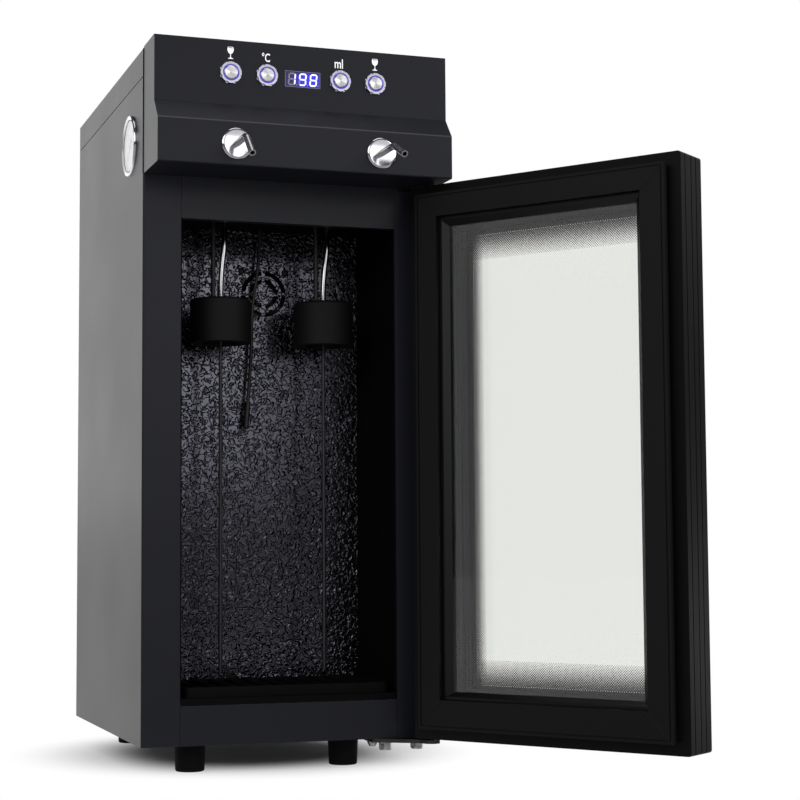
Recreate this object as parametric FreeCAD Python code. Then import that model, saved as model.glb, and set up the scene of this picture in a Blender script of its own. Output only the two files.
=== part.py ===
import FreeCAD, Part
import math
import os

# Wine preservation dispenser for two bottles, standing on four feet with its glass door open.
# Millimetres. X runs to the right, Y to the rear, Z up. The origin is the centre of the
# cabinet's footprint on the surface that it stands on.

os.makedirs("parts", exist_ok=True)

# Driving dimensions of the cabinet
CASE_W = 250.0
CASE_D = 304.0
CASE_H = 571.5
FOOT_H = 23.0
SHEET = 1.0
BEND_R = 1.6
HALF_W = CASE_W / 2
FRONT = -CASE_D / 2
REAR = CASE_D / 2
BOTTOM = FOOT_H
TOP = BOTTOM + CASE_H
COVER_SKIRT = 24.0
SEAM = 0.8
STILE_W = 31.8
STILE_RETURN = 10.0
OPEN_LOW = BOTTOM + 37.2
OPEN_HIGH = BOTTOM + 430.7
SILL_LIP = 4.6

# The cold chamber
CHAMBER_HALF_W = 92.0
CHAMBER_FLOOR = BOTTOM + 38.0
CHAMBER_CEILING = BOTTOM + 440.0
CHAMBER_BACK = FRONT + 100.0
FOAM_BACK = CHAMBER_BACK + 50.0
FOAM_TOP = CHAMBER_CEILING + 25.0
BOTTLE_X = 46.0
BOTTLE_Y = FRONT + 54.0
BOTTLE_BASE = BOTTOM + 46.5

# The folded fascia in two tiers
FASCIA_LOW = BOTTOM + 465.5
FASCIA_UPPER_OUT = 41.6
FASCIA_LOWER_OUT = 55.2
FASCIA_SLOPE_LOW = BOTTOM + 501.2
FASCIA_SLOPE_HIGH = BOTTOM + 517.4
FASCIA_SHEET = 1.2
FASCIA_GAP = 0.9
UPPER_FACE = FRONT - FASCIA_UPPER_OUT
LOWER_FACE = FRONT - FASCIA_LOWER_OUT

# Controls on the fascia
BUTTON_XS = (-62.0, -31.4, 31.4, 62.0)
BUTTON_Z = BOTTOM + 544.2
BUTTON_FLANGE_R = 9.3
BUTTON_BARREL_R = 8.0
BUTTON_BORE_R = 6.0
BUTTON_CAP_R = 5.7
NOTCHES = 8
DISPLAY_X = -0.8
DISPLAY_Z = BOTTOM + 543.2
DISPLAY_W = 30.4
DISPLAY_H = 13.6
TAP_XS = {"left": -60.3, "right": 62.7}
TAP_Z = BOTTOM + 483.0
TAP_DISC_R = 12.8
SPOUT_R = 2.8
SPOUT_BORE_R = 1.9
# Each spout: how far it runs out, the angle of its bend, the length of its tip, and its swivel
SPOUT_SHAPES = {"left": (29.5, 46.0, 23.5, 2.0), "right": (31.0, 30.0, 21.5, 12.0)}

# The gas pressure gauge in the left side panel
GAUGE_Y = FRONT + 52.8
GAUGE_Z = BOTTOM + 499.4
GAUGE_R = 25.7

# The door, drawn closed and then turned about its hinge axis
DOOR_HALF_W = 124.7
DOOR_LOW = BOTTOM + 1.3
DOOR_HIGH = BOTTOM + 463.3
DOOR_INNER = FRONT - 10.0
DOOR_OUTER = FRONT - 46.0
DOOR_OPEN = 126.0
HINGE_X = 115.5
HINGE_Y = FRONT - 20.0
PIN_R = 3.0
PIN_GAP = 0.06
PIN_DEPTH = 14.0
PANE = 4.0
LIGHT_HALF_W = 86.5
LIGHT_LOW = BOTTOM + 41.0
LIGHT_HIGH = BOTTOM + 427.0
GASKET_IN_W = 94.0
GASKET_OUT_W = 115.0
GASKET_IN_LOW = BOTTOM + 34.6
GASKET_IN_HIGH = BOTTOM + 434.6
GASKET_OUT_LOW = BOTTOM + 10.5
GASKET_OUT_HIGH = BOTTOM + 454.5
GASKET_GAP = 0.5

# The cooling unit behind the chamber
FAN_X = 4.8
FAN_Z = BOTTOM + 384.5
INNER_FAN = 50.0
REAR_FAN = 92.0
COLD_SINK_W = 80.0
HOT_SINK_W = 100.0
REAR_FAN_Z = FAN_Z - 20.0

V = FreeCAD.Vector


def box(x0, y0, z0, x1, y1, z1):
    return Part.makeBox(x1 - x0, y1 - y0, z1 - z0, V(x0, y0, z0))


def rod(r, start, end):
    span = V(*end) - V(*start)
    return Part.makeCylinder(r, span.Length, V(*start), span)


def prism(points, axis, low, high):
    """A polygon in the plane square to the axis, extruded from low to high along it."""
    place = {"X": lambda a, b: V(low, a, b), "Y": lambda a, b: V(a, low, b), "Z": lambda a, b: V(a, b, low)}[axis]
    corners = [place(a, b) for a, b in points]
    face = Part.Face(Part.makePolygon(corners + corners[:1]))
    step = {"X": V(high - low, 0, 0), "Y": V(0, high - low, 0), "Z": V(0, 0, high - low)}[axis]
    return face.extrude(step)


def turned(profile, centre, direction):
    """A body of revolution: profile points are (distance along the axis, radius)."""
    corners = [V(r, 0, a) for a, r in profile]
    face = Part.Face(Part.makePolygon(corners + corners[:1]))
    body = face.revolve(V(0, 0, 0), V(0, 0, 1), 360)
    body.Placement = FreeCAD.Placement(V(*centre), FreeCAD.Rotation(V(0, 0, 1), V(*direction)))
    return body


def rounded_box(x0, y0, z0, x1, y1, z1, radius, axis="Z"):
    body = box(x0, y0, z0, x1, y1, z1)
    index = "XYZ".index(axis)
    edges = [e for e in body.Edges if abs(e.tangentAt(e.FirstParameter)[index]) > 0.99]
    return body.makeFillet(radius, edges)


def frame_ring(outer, inner, y0, y1, radius=0.0):
    """A rectangular ring in the XZ plane; outer and inner are (half width, low, high)."""
    if radius:
        body = rounded_box(-outer[0], y0, outer[1], outer[0], y1, outer[2], radius, "Y")
    else:
        body = box(-outer[0], y0, outer[1], outer[0], y1, outer[2])
    return body.cut(box(-inner[0], y0 - 1, inner[1], inner[0], y1 + 1, inner[2]))


def mirror_x(shape):
    return shape.mirror(V(0, 0, 0), V(1, 0, 0))


def tube(points, r, bore=0.0, bend=0.0):
    """A round tube or bar of straight runs joined by tangent arcs, as large as the runs allow or of the bend's radius."""
    places = [V(*p) for p in points]
    pieces = []
    start = places[0]
    section = Part.Face(Part.Wire(Part.makeCircle(r, start, places[1] - start)))
    if bore:
        section = section.cut(Part.Face(Part.Wire(Part.makeCircle(bore, start, places[1] - start))))
    for i in range(1, len(places) - 1):
        back = places[i - 1] - places[i]
        ahead = places[i + 1] - places[i]
        trim = 0.45 * min(back.Length, ahead.Length)
        back.normalize()
        ahead.normalize()
        turn = math.pi - back.getAngle(ahead)
        if bend:
            trim = min(trim, bend * math.tan(turn / 2))
        radius = trim / math.tan(turn / 2)
        enter = places[i] + back * trim
        bisector = back + ahead
        bisector.normalize()
        centre = places[i] + bisector * (radius / math.cos(turn / 2))
        axis = ahead.cross(back)
        pieces.append(section.extrude(enter - start))
        section.translate(enter - start)
        pieces.append(section.revolve(centre, axis, math.degrees(turn)))
        section.rotate(centre, axis, math.degrees(turn))
        start = places[i] + ahead * trim
    pieces.append(section.extrude(places[-1] - start))
    return pieces[0].multiFuse(pieces[1:]).removeSplitter()


def save(name, shape):
    solids = shape.Solids
    if not solids or not all(s.isValid() and s.isClosed() for s in solids):
        raise ValueError(name + " is not a closed solid")
    result = solids[0] if len(solids) == 1 else Part.makeCompound(solids)
    result.exportStep("parts/" + name + ".step")
    return result


def opened(shape):
    """Turns a door piece from the closed place to the open place that the part is stored in."""
    copy = shape.copy()
    copy.rotate(V(HINGE_X, HINGE_Y, 0), V(0, 0, 1), DOOR_OPEN)
    return copy


# Side panels: one folded sheet each, whose front flange is the stile beside the door opening
def side_panel():
    low = BOTTOM
    high = TOP - COVER_SKIRT - SEAM
    left = -HALF_W
    stile = left + STILE_W
    outline = [
        (left, FRONT), (stile, FRONT), (stile, FRONT + STILE_RETURN),
        (stile - SHEET, FRONT + STILE_RETURN), (stile - SHEET, FRONT + SHEET),
        (left + SHEET, FRONT + SHEET), (left + SHEET, REAR - SHEET),
        (left + 16, REAR - SHEET), (left + 16, REAR), (left, REAR),
    ]
    body = prism(outline, "Z", low, high)
    folds = [e for e in body.Edges if abs(e.tangentAt(e.FirstParameter).z) > 0.99
             and abs(e.CenterOfMass.x - left) < 0.01]
    return body.makeFillet(BEND_R, folds)


side_panel_left = side_panel()
side_panel_right = mirror_x(side_panel_left)
gauge_hole = rod(GAUGE_R - 1.7, (-HALF_W - 5, GAUGE_Y, GAUGE_Z), (-HALF_W + 5, GAUGE_Y, GAUGE_Z))
side_panel_left = side_panel_left.cut(gauge_hole)
save("side_panel_left", side_panel_left)
save("side_panel_right", side_panel_right)


# Top cover: a pan whose skirt stands flush with the side panels
def top_cover():
    low = TOP - COVER_SKIRT
    body = rounded_box(-HALF_W, FRONT, low, HALF_W, REAR, TOP, BEND_R)
    rim = [e for e in body.Edges if abs(e.CenterOfMass.z - TOP) < 0.01]
    body = body.makeFillet(BEND_R, rim)
    return body.cut(box(-HALF_W + SHEET, FRONT + SHEET, low - 1, HALF_W - SHEET, REAR - SHEET, TOP - SHEET))


save("top_cover", top_cover())


# Base plate: a pan with upturned flanges inside the side panels
def base_plate():
    half = HALF_W - SHEET - 0.2
    y0 = FRONT + SHEET + 0.2
    y1 = REAR - SHEET - 0.2
    body = box(-half, y0, BOTTOM, half, y1, BOTTOM + 12)
    body = body.cut(box(-half + 1.2, y0 + 1.2, BOTTOM + 1.2, half - 1.2, y1 - 1.2, BOTTOM + 13))
    for i in range(-3, 4):
        body = body.cut(rounded_box(i * 16 - 4, REAR - 70, BOTTOM - 1, i * 16 + 4, REAR - 30, BOTTOM + 2, 3.9))
    for sign in (-1, 1):
        x = sign * (HALF_W - STILE_W)
        body = body.cut(box(x - 1.5, FRONT, BOTTOM - 1, x + 1.5, FRONT + STILE_RETURN + 0.3, BOTTOM + 13))
    for x, y in BOLT_PLACES + (SCREW_PLACE,):
        body = body.cut(rod(BOLT_R + 0.1, (x, y, BOTTOM - 1), (x, y, BOTTOM + 2)))
    return body


# Rails across the front: the bottom rail carries the sill lip of the floor liner
def front_bottom_rail():
    half = HALF_W - STILE_W - 0.3
    high = OPEN_LOW - SILL_LIP - 0.3
    return box(-half, FRONT, BOTTOM, half, FRONT + SHEET, high)


def front_top_rail():
    half = HALF_W - STILE_W - 0.3
    inside = CHAMBER_HALF_W - 0.3
    body = box(-half, FRONT, OPEN_HIGH, half, FRONT + SHEET, TOP - COVER_SKIRT - SEAM)
    body = body.fuse(box(-inside, FRONT, OPEN_HIGH, inside, FRONT + 9, OPEN_HIGH + SHEET)).removeSplitter()
    window = box(-75, FRONT - 1, BOTTOM + 495, 75, FRONT + 5, BOTTOM + 545)
    for x in TAP_XS.values():
        body = body.cut(rod(14, (x, FRONT - 1, TAP_Z), (x, FRONT + 5, TAP_Z)))
    return body.cut(window)


save("front_bottom_rail", front_bottom_rail())
save("front_top_rail", front_top_rail())


# Fascia: one sheet folded down the front in two tiers, with closed ends and a turned-in floor;
# flanges at its ends bear on the stiles
FASCIA_FLANGE = 14.0
FLANGE_LOW = BOTTOM + 475
FLANGE_HIGH = BOTTOM + 540
TAP_BARREL_R = 6.0


def fascia():
    top = TOP
    back = FRONT - FASCIA_GAP
    outer = [
        (back, top), (UPPER_FACE, top), (UPPER_FACE, FASCIA_SLOPE_HIGH),
        (LOWER_FACE, FASCIA_SLOPE_LOW), (LOWER_FACE, FASCIA_LOW), (back, FASCIA_LOW),
    ]
    t = FASCIA_SHEET
    hollow = [
        (FRONT + 1, top - t), (UPPER_FACE + t, top - t), (UPPER_FACE + t, FASCIA_SLOPE_HIGH - 0.4),
        (LOWER_FACE + t, FASCIA_SLOPE_LOW - 0.4), (LOWER_FACE + t, FASCIA_LOW + t), (FRONT + 1, FASCIA_LOW + t),
    ]
    body = prism(outer, "X", -HALF_W, HALF_W)
    folds = [e for e in body.Edges if abs(e.tangentAt(e.FirstParameter).x) > 0.99
             and e.CenterOfMass.y < FRONT - 5]
    body = body.makeFillet(1.2, folds)
    body = body.cut(prism(hollow, "X", -HALF_W + t, HALF_W - t))
    flange = box(HALF_W - FASCIA_FLANGE, back - t, FLANGE_LOW, HALF_W - t, back, FLANGE_HIGH)
    pad = box(HALF_W - FASCIA_FLANGE, back, FLANGE_LOW, HALF_W - 6, FRONT, FLANGE_HIGH)
    flange = flange.fuse(pad)
    body = body.fuse(flange).fuse(mirror_x(flange)).removeSplitter()
    for x in BUTTON_XS:
        body = body.cut(rod(BUTTON_BARREL_R + 0.1, (x, UPPER_FACE - 5, BUTTON_Z), (x, UPPER_FACE + 5, BUTTON_Z)))
    for x in TAP_XS.values():
        body = body.cut(rod(TAP_BARREL_R + 0.1, (x, LOWER_FACE - 5, TAP_Z), (x, LOWER_FACE + 5, TAP_Z)))
    return body.cut(box(
        DISPLAY_X - DISPLAY_W / 2 - 0.2, UPPER_FACE - 5, DISPLAY_Z - DISPLAY_H / 2 - 0.2,
        DISPLAY_X + DISPLAY_W / 2 + 0.2, UPPER_FACE + 5, DISPLAY_Z + DISPLAY_H / 2 + 0.2))


save("fascia", fascia())


# Rear panel: punched ring slots for the fan, a cut-out for the mains inlet, a hole for the gas
MAINS_X = -72.0
MAINS_Z = BOTTOM + 46.0
GAS_X = 78.0
GAS_Z = BOTTOM + 505.0
GAS_BODY_R = 6.0


def ring_slots(x, y0, y1, z, rings, spoke_w, turn):
    """Rings of arc slots about an axis along Y, crossed by four spokes; rings are (inner, outer) radii."""
    slots = None
    for inner, outer in rings:
        ring = rod(outer, (x, y0, z), (x, y1, z)).cut(rod(inner, (x, y0 - 1, z), (x, y1 + 1, z)))
        slots = ring if slots is None else slots.fuse(ring)
    reach = rings[-1][1] + 2
    for angle in (turn, turn + 90):
        bar = box(x - reach, y0 - 1, z - spoke_w / 2, x + reach, y1 + 1, z + spoke_w / 2)
        bar.rotate(V(x, 0, z), V(0, 1, 0), angle)
        slots = slots.cut(bar)
    return slots


def rear_panel():
    half = HALF_W - 16.3
    y0 = REAR - SHEET
    body = box(-half, y0, BOTTOM, half, REAR, TOP - COVER_SKIRT - SEAM)
    rings = [(12 + 11 * i, 18 + 11 * i) for i in range(3)]
    body = body.cut(ring_slots(FAN_X, y0 - 1, REAR + 1, REAR_FAN_Z, rings, 5, 45))
    for row in range(5):
        z = BOTTOM + 110 + row * 12
        body = body.cut(box(-60, y0 - 1, z, 60, REAR + 1, z + 5))
    body = body.cut(box(MAINS_X - 14, y0 - 1, MAINS_Z - 10.2, MAINS_X + 14, REAR + 1, MAINS_Z + 10.2))
    return body.cut(rod(GAS_BODY_R + 0.2, (GAS_X, y0 - 1, GAS_Z), (GAS_X, REAR + 1, GAS_Z)))


save("rear_panel", rear_panel())


# Liner: five plates of embossed aluminium; the back plate carries the punched fan grille
LINER_Y0 = FRONT + SHEET
LINER_OUT = CHAMBER_HALF_W + SHEET


def liner_side():
    return box(-LINER_OUT, LINER_Y0, CHAMBER_FLOOR - SHEET, -CHAMBER_HALF_W, CHAMBER_BACK, CHAMBER_CEILING + SHEET)


def liner_floor():
    outline = [
        (FRONT, OPEN_LOW - SILL_LIP), (FRONT + SHEET, OPEN_LOW - SILL_LIP),
        (FRONT + SHEET, CHAMBER_FLOOR - SHEET), (CHAMBER_BACK, CHAMBER_FLOOR - SHEET),
        (CHAMBER_BACK, CHAMBER_FLOOR), (FRONT, CHAMBER_FLOOR),
    ]
    return prism(outline, "X", -CHAMBER_HALF_W, CHAMBER_HALF_W)


LINE_HOLE_R = 9.0
LEAD_R = 1.6
LEAD_X = -1.0
LEAD_Y = CHAMBER_BACK - 9.0
CEILING_HOLES = ((-BOTTLE_X, BOTTLE_Y, LINE_HOLE_R), (BOTTLE_X, BOTTLE_Y, LINE_HOLE_R), (LEAD_X, LEAD_Y, LEAD_R + 0.8))


def liner_ceiling():
    body = box(-CHAMBER_HALF_W, LINER_Y0, CHAMBER_CEILING, CHAMBER_HALF_W, CHAMBER_BACK, CHAMBER_CEILING + SHEET)
    for x, y, r in CEILING_HOLES:
        body = body.cut(rod(r, (x, y, CHAMBER_CEILING - 1), (x, y, CHAMBER_CEILING + 2)))
    return body


GRILLE_RINGS = [(9.0, 13.0), (16.5, 20.5)]


def liner_back():
    y1 = CHAMBER_BACK + SHEET
    body = box(-LINER_OUT, CHAMBER_BACK, CHAMBER_FLOOR - SHEET, LINER_OUT, y1, CHAMBER_CEILING + SHEET)
    return body.cut(ring_slots(FAN_X, CHAMBER_BACK - 1, y1 + 1, FAN_Z, GRILLE_RINGS, 3.2, 0))


save("liner_side_left", liner_side())
save("liner_side_right", mirror_x(liner_side()))
save("liner_floor", liner_floor())
save("liner_ceiling", liner_ceiling())
save("liner_back", liner_back())


# Insulation: foamed in one piece around the liner, open at the front, pierced for the cold sink
COLD_Y0 = CHAMBER_BACK + SHEET + 15.5
COLD_Y1 = FOAM_BACK + 0.5


def insulation():
    half = HALF_W - SHEET
    y0 = FRONT + SHEET
    body = box(-half, y0, BOTTOM + 13, half, FOAM_BACK, FOAM_TOP)
    body = body.cut(box(-LINER_OUT, y0 - 1, CHAMBER_FLOOR - SHEET, LINER_OUT, CHAMBER_BACK + SHEET,
                        CHAMBER_CEILING + SHEET))
    body = body.cut(box(-LINER_OUT - 0.5, y0 - 1, BOTTOM, LINER_OUT + 0.5, y0 + STILE_RETURN, CHAMBER_CEILING + 30))
    for sign in (-1, 1):
        x = sign * (HALF_W - STILE_W)
        body = body.cut(box(x - 2, y0 - 1, BOTTOM, x + 2, y0 + STILE_RETURN, TOP))
    pocket = COLD_SINK_W / 2 + 1
    body = body.cut(box(FAN_X - pocket, CHAMBER_BACK, FAN_Z - pocket, FAN_X + pocket, FOAM_BACK + 1, FAN_Z + pocket))
    for x, y, r in CEILING_HOLES:
        body = body.cut(rod(r, (x, y, CHAMBER_CEILING), (x, y, FOAM_TOP + 1)))
    return body


save("insulation", insulation())


# Bottle tray: a moulded rubber drip tray with a raised rim and cross ribs
def bottle_tray():
    x = CHAMBER_HALF_W - 4
    y0 = FRONT + 5
    y1 = CHAMBER_BACK - 2
    z0 = CHAMBER_FLOOR
    body = rounded_box(-x, y0, z0, x, y1, BOTTLE_BASE, 6)
    body = body.cut(rounded_box(-x + 3, y0 + 3, z0 + 2.5, x - 3, y1 - 3, BOTTLE_BASE + 1, 4))
    for i in range(-5, 6):
        body = body.fuse(box(i * 15 - 1.2, y0 + 2, z0 + 2, i * 15 + 1.2, y1 - 2, BOTTLE_BASE))
    return body.removeSplitter()


save("bottle_tray", bottle_tray())


# Feet: tapered rubber with a seat for the screw; the front right one stands clear of the hinge
FOOT_PLACES = ((-78.0, FRONT + 29), (55.0, FRONT + 31), (-79.0, FRONT + 265), (79.0, FRONT + 265))
FOOT_R = 12.0


def feet():
    profile = [(0, 0), (0, FOOT_R - 0.8), (0.8, FOOT_R), (FOOT_H, FOOT_R + 1), (FOOT_H, 0)]
    return Part.makeCompound([turned(profile, (x, y, 0), (0, 0, 1)) for x, y in FOOT_PLACES])


save("feet", feet())


# Hinge brackets: steel plates with a riveted pin that the door turns on
BRACKET_T = 3.0
TOP_BRACKET_T = 1.4
BOLT_R = 3.0
BOLT_FLATS = 10.0
BOLT_HEAD = 6.0
WASHER_R = 6.4
WASHER_T = 1.5
BOLT_PLACES = ((86.2, FRONT + 11), (114.3, FRONT + 11))
SCREW_PLACE = (76.0, FRONT + 15)
SCREW_HEAD = 4.4


def bracket_outline(reach_in, reach_back):
    return [
        (HINGE_X + 8, HINGE_Y), (HINGE_X + 5.5, HINGE_Y - 6), (HINGE_X, HINGE_Y - 8),
        (HINGE_X - 5.5, HINGE_Y - 6), (HINGE_X - 9, HINGE_Y + 2), (HINGE_X - reach_in, FRONT + 2),
        (HINGE_X - reach_in, FRONT + reach_back), (HINGE_X + 8, FRONT + reach_back),
    ]


def hinge_bracket_bottom():
    plate = prism(bracket_outline(44, 24), "Z", BOTTOM - BRACKET_T, BOTTOM)
    for x, y in BOLT_PLACES + (SCREW_PLACE,):
        plate = plate.cut(rod(BOLT_R + 0.1, (x, y, BOTTOM - 5), (x, y, BOTTOM + 1)))
    pin = rod(PIN_R, (HINGE_X, HINGE_Y, BOTTOM - BRACKET_T), (HINGE_X, HINGE_Y, DOOR_LOW + PIN_DEPTH - 1))
    return plate.fuse(pin).removeSplitter()


def hinge_bracket_top():
    gap = FASCIA_LOW - DOOR_HIGH
    z0 = DOOR_HIGH + (gap - TOP_BRACKET_T) / 2
    plate = prism([
        (HINGE_X + 7, HINGE_Y), (HINGE_X, HINGE_Y - 7), (HINGE_X - 7, HINGE_Y),
        (HINGE_X - 19, FRONT - 0.3), (HINGE_X + 7, FRONT - 0.3)], "Z", z0, z0 + TOP_BRACKET_T)
    leg = box(HINGE_X - 19, FRONT - 1.7, z0 - 26, HINGE_X - 3, FRONT, z0 + TOP_BRACKET_T)
    pin = rod(PIN_R, (HINGE_X, HINGE_Y, DOOR_HIGH - PIN_DEPTH + 1), (HINGE_X, HINGE_Y, z0 + TOP_BRACKET_T))
    return plate.fuse(pin)


def hex_prism(x, y, z0, z1, flats):
    corner = flats / math.sqrt(3)
    points = [(x + corner * math.cos(math.radians(60 * i)), y + corner * math.sin(math.radians(60 * i)))
              for i in range(6)]
    return prism(points, "Z", z0, z1)


def hinge_bolts():
    low = BOTTOM - BRACKET_T
    pieces = []
    for x, y in BOLT_PLACES:
        under = low - WASHER_T
        head = hex_prism(x, y, under - BOLT_HEAD, under, BOLT_FLATS)
        chamfer = turned([(0, 0), (0, BOLT_FLATS / 2 - 0.3), (BOLT_HEAD / 2, BOLT_FLATS / 2 + 1.6),
                          (BOLT_HEAD, BOLT_FLATS / 2 + 1.6), (BOLT_HEAD, 0)], (x, y, under - BOLT_HEAD), (0, 0, 1))
        bolt = head.common(chamfer).fuse(rod(WASHER_R, (x, y, under), (x, y, low)))
        pieces.append(bolt.fuse(rod(BOLT_R, (x, y, low), (x, y, BOTTOM + 8))).removeSplitter())
    x, y = SCREW_PLACE
    head = turned([(0, 0), (0, 2.6), (SCREW_HEAD - 1.2, 4.4), (SCREW_HEAD, 4.4), (SCREW_HEAD, 0)],
                  (x, y, low - SCREW_HEAD), (0, 0, 1))
    pieces.append(head.fuse(rod(BOLT_R, (x, y, low), (x, y, BOTTOM + 8))).removeSplitter())
    return Part.makeCompound(pieces)


bracket_top = hinge_bracket_top()
save("base_plate", base_plate())
save("hinge_bracket_bottom", hinge_bracket_bottom())
save("hinge_bracket_top", bracket_top)
save("hinge_bolts", hinge_bolts())


# Push buttons: a notched flange on a barrel through the fascia, and a cap that travels in it
def button_bezel(x):
    flange = BUTTON_FLANGE_R
    barrel = BUTTON_BARREL_R
    bore = BUTTON_BORE_R
    profile = [(-18, bore), (-18, barrel), (0, barrel), (0, flange), (2.2, flange - 0.5), (2.2, bore)]
    body = turned(profile, (x, UPPER_FACE, BUTTON_Z), (0, -1, 0))
    for i in range(NOTCHES):
        notch = box(x - 1.1, UPPER_FACE - 3, BUTTON_Z - flange - 1, x + 1.1, UPPER_FACE - 0.6, BUTTON_Z - flange + 1.1)
        notch.rotate(V(x, 0, BUTTON_Z), V(0, 1, 0), 360.0 / NOTCHES * (i + 0.5))
        body = body.cut(notch)
    return body


def button_cap(x):
    profile = [(-14, 0), (-14, BUTTON_CAP_R), (2.6, BUTTON_CAP_R), (3.2, BUTTON_CAP_R - 0.6), (2.8, 0)]
    return turned(profile, (x, UPPER_FACE, BUTTON_Z), (0, -1, 0))


save("button_bezels", Part.makeCompound([button_bezel(x) for x in BUTTON_XS]))
for number, button_x in enumerate(BUTTON_XS, 1):
    save("button_" + str(number), button_cap(button_x))


# Display: a three-digit module behind its cut-out, carried by the control board
def display_module():
    x0 = DISPLAY_X - DISPLAY_W / 2
    z0 = DISPLAY_Z - DISPLAY_H / 2
    return box(x0, UPPER_FACE + 0.3, z0, x0 + DISPLAY_W, UPPER_FACE + 9, z0 + DISPLAY_H)


BOARD_Y = UPPER_FACE + 19


def control_board():
    half = 80.0
    z0 = BOTTOM + 522
    z1 = BOTTOM + 562
    body = rounded_box(-half, BOARD_Y, z0, half, BOARD_Y + 1.6, z1, 2, "Y")
    body = body.fuse(box(DISPLAY_X - 13, UPPER_FACE + 9, DISPLAY_Z - 5, DISPLAY_X + 13, BOARD_Y, DISPLAY_Z + 5))
    for x, w in ((-60, 20), (-25, 12), (12, 16), (50, 24)):
        body = body.fuse(box(x, BOARD_Y + 1.6, z0 + 6, x + w, BOARD_Y + 10, z0 + 20))
    return body.removeSplitter()


save("display_module", display_module())
save("control_board", control_board())


# Taps: a domed disc with a threaded barrel, and a bent steel spout that swivels in it
SPOUT_STUB = 18.0
SPOUT_BEND = 7.0


def tap_body(x):
    bore = SPOUT_R + 0.05
    profile = [
        (-16, bore), (-16, TAP_BARREL_R), (0, TAP_BARREL_R), (0, TAP_DISC_R), (1.2, TAP_DISC_R),
        (2.2, TAP_DISC_R - 1.2), (3.0, 5.0), (3.2, bore),
    ]
    return turned(profile, (x, LOWER_FACE, TAP_Z), (0, -1, 0))


def spout(x, run, bend, tip, swivel):
    corner = LOWER_FACE - run
    drop = math.radians(bend)
    points = [
        (x, LOWER_FACE + SPOUT_STUB, TAP_Z),
        (x, corner, TAP_Z),
        (x, corner - tip * math.cos(drop), TAP_Z - tip * math.sin(drop)),
    ]
    body = tube(points, SPOUT_R, SPOUT_BORE_R, SPOUT_BEND)
    body.rotate(V(x, 0, TAP_Z), V(0, 1, 0), -swivel)
    return body


save("tap_bodies", Part.makeCompound([tap_body(x) for x in TAP_XS.values()]))
for side, shape in SPOUT_SHAPES.items():
    save("spout_" + side, spout(TAP_XS[side], *shape))


# Gas pressure gauge: a drawn case behind the panel, chromed bezel, dial, needle and glass
def along_x(profile):
    return turned(profile, (-HALF_W, GAUGE_Y, GAUGE_Z), (-1, 0, 0))


gauge_case = along_x([(-30, 0), (-30, 23.5), (1.1, 23.5), (1.1, 22.6), (-1.0, 22.6), (-1.0, 1.6), (-14, 1.6), (-14, 0)])
gauge_stem = box(-HALF_W + 12, GAUGE_Y - 5, GAUGE_Z - 32, -HALF_W + 22, GAUGE_Y + 5, GAUGE_Z - 20)
save("gauge_case", gauge_case.fuse(gauge_stem).removeSplitter())
save("gauge_bezel", along_x([
    (0, 23.6), (0, GAUGE_R), (1.4, GAUGE_R), (2.4, GAUGE_R - 1.0), (2.4, 22.9), (2.1, 22.4), (2.1, 23.6)]))
save("gauge_dial", along_x([(-1.0, 1.7), (-1.0, 22.5), (-0.4, 22.5), (-0.4, 1.7)]))
save("gauge_glass", along_x([(1.2, 0), (1.2, 23.2), (2.0, 23.2), (2.0, 0)]))


def gauge_needle():
    hub = along_x([(-12, 0), (-12, 1.5), (0, 1.5), (0, 2.6), (0.85, 2.6), (0.85, 0)])
    x0 = -HALF_W - 0.65
    blade = prism([(-2.0, -7.0), (2.0, -7.0), (1.0, 0.0), (0.3, 17.5), (-0.3, 17.5), (-1.0, 0.0)], "X", x0, x0 + 0.45)
    blade.translate(V(0, GAUGE_Y, GAUGE_Z))
    blade.rotate(V(0, GAUGE_Y, GAUGE_Z), V(1, 0, 0), -135)
    return hub.fuse(blade).removeSplitter()


save("gauge_needle", gauge_needle())


# Door: mitred frame with grooved edges, insulating glass, inner bevel frame and magnetic gasket
DOOR_SIZE = (DOOR_HALF_W, DOOR_LOW, DOOR_HIGH)
FRAME_BAR = 28.0
EDGE_LIP = 3.0
WALL = 2.4
KEY = 32.0


def grown(size, amount):
    return (size[0] + amount, size[1] - amount, size[2] + amount)


def door_frame():
    """A channel profile that opens towards the glass, with solid keys where the pins run."""
    inner = grown(DOOR_SIZE, -FRAME_BAR)
    body = frame_ring(DOOR_SIZE, inner, DOOR_OUTER, DOOR_INNER, 2.5)
    channel = frame_ring(grown(DOOR_SIZE, -WALL), inner, DOOR_OUTER + PANE + 0.4 + WALL, DOOR_INNER - WALL)
    for z0 in (DOOR_LOW, DOOR_HIGH - KEY):
        channel = channel.cut(box(DOOR_HALF_W - FRAME_BAR, DOOR_OUTER, z0, DOOR_HALF_W, DOOR_INNER, z0 + KEY))
    body = body.cut(channel)
    pane = grown(DOOR_SIZE, -EDGE_LIP)
    body = body.cut(box(-pane[0], DOOR_OUTER - 1, pane[1], pane[0], DOOR_OUTER + PANE + 0.4, pane[2]))
    for depth in (7.4, 18.0, 26.6):
        y = DOOR_INNER - depth
        groove = frame_ring(grown(DOOR_SIZE, 1), grown(DOOR_SIZE, -0.9), y - 0.6, y + 0.6)
        body = body.cut(groove)
    for z0, z1 in ((DOOR_LOW - 1, DOOR_LOW + PIN_DEPTH), (DOOR_HIGH - PIN_DEPTH, DOOR_HIGH + 1)):
        body = body.cut(rod(PIN_R + PIN_GAP, (HINGE_X, HINGE_Y, z0), (HINGE_X, HINGE_Y, z1)))
    return body


LIGHT_SIZE = (LIGHT_HALF_W, LIGHT_LOW, LIGHT_HIGH)
INNER_BAR_OUT = grown(DOOR_SIZE, -FRAME_BAR - 0.2)
GLASS_OUTER_SIZE = grown(DOOR_SIZE, -EDGE_LIP - 0.3)


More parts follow.
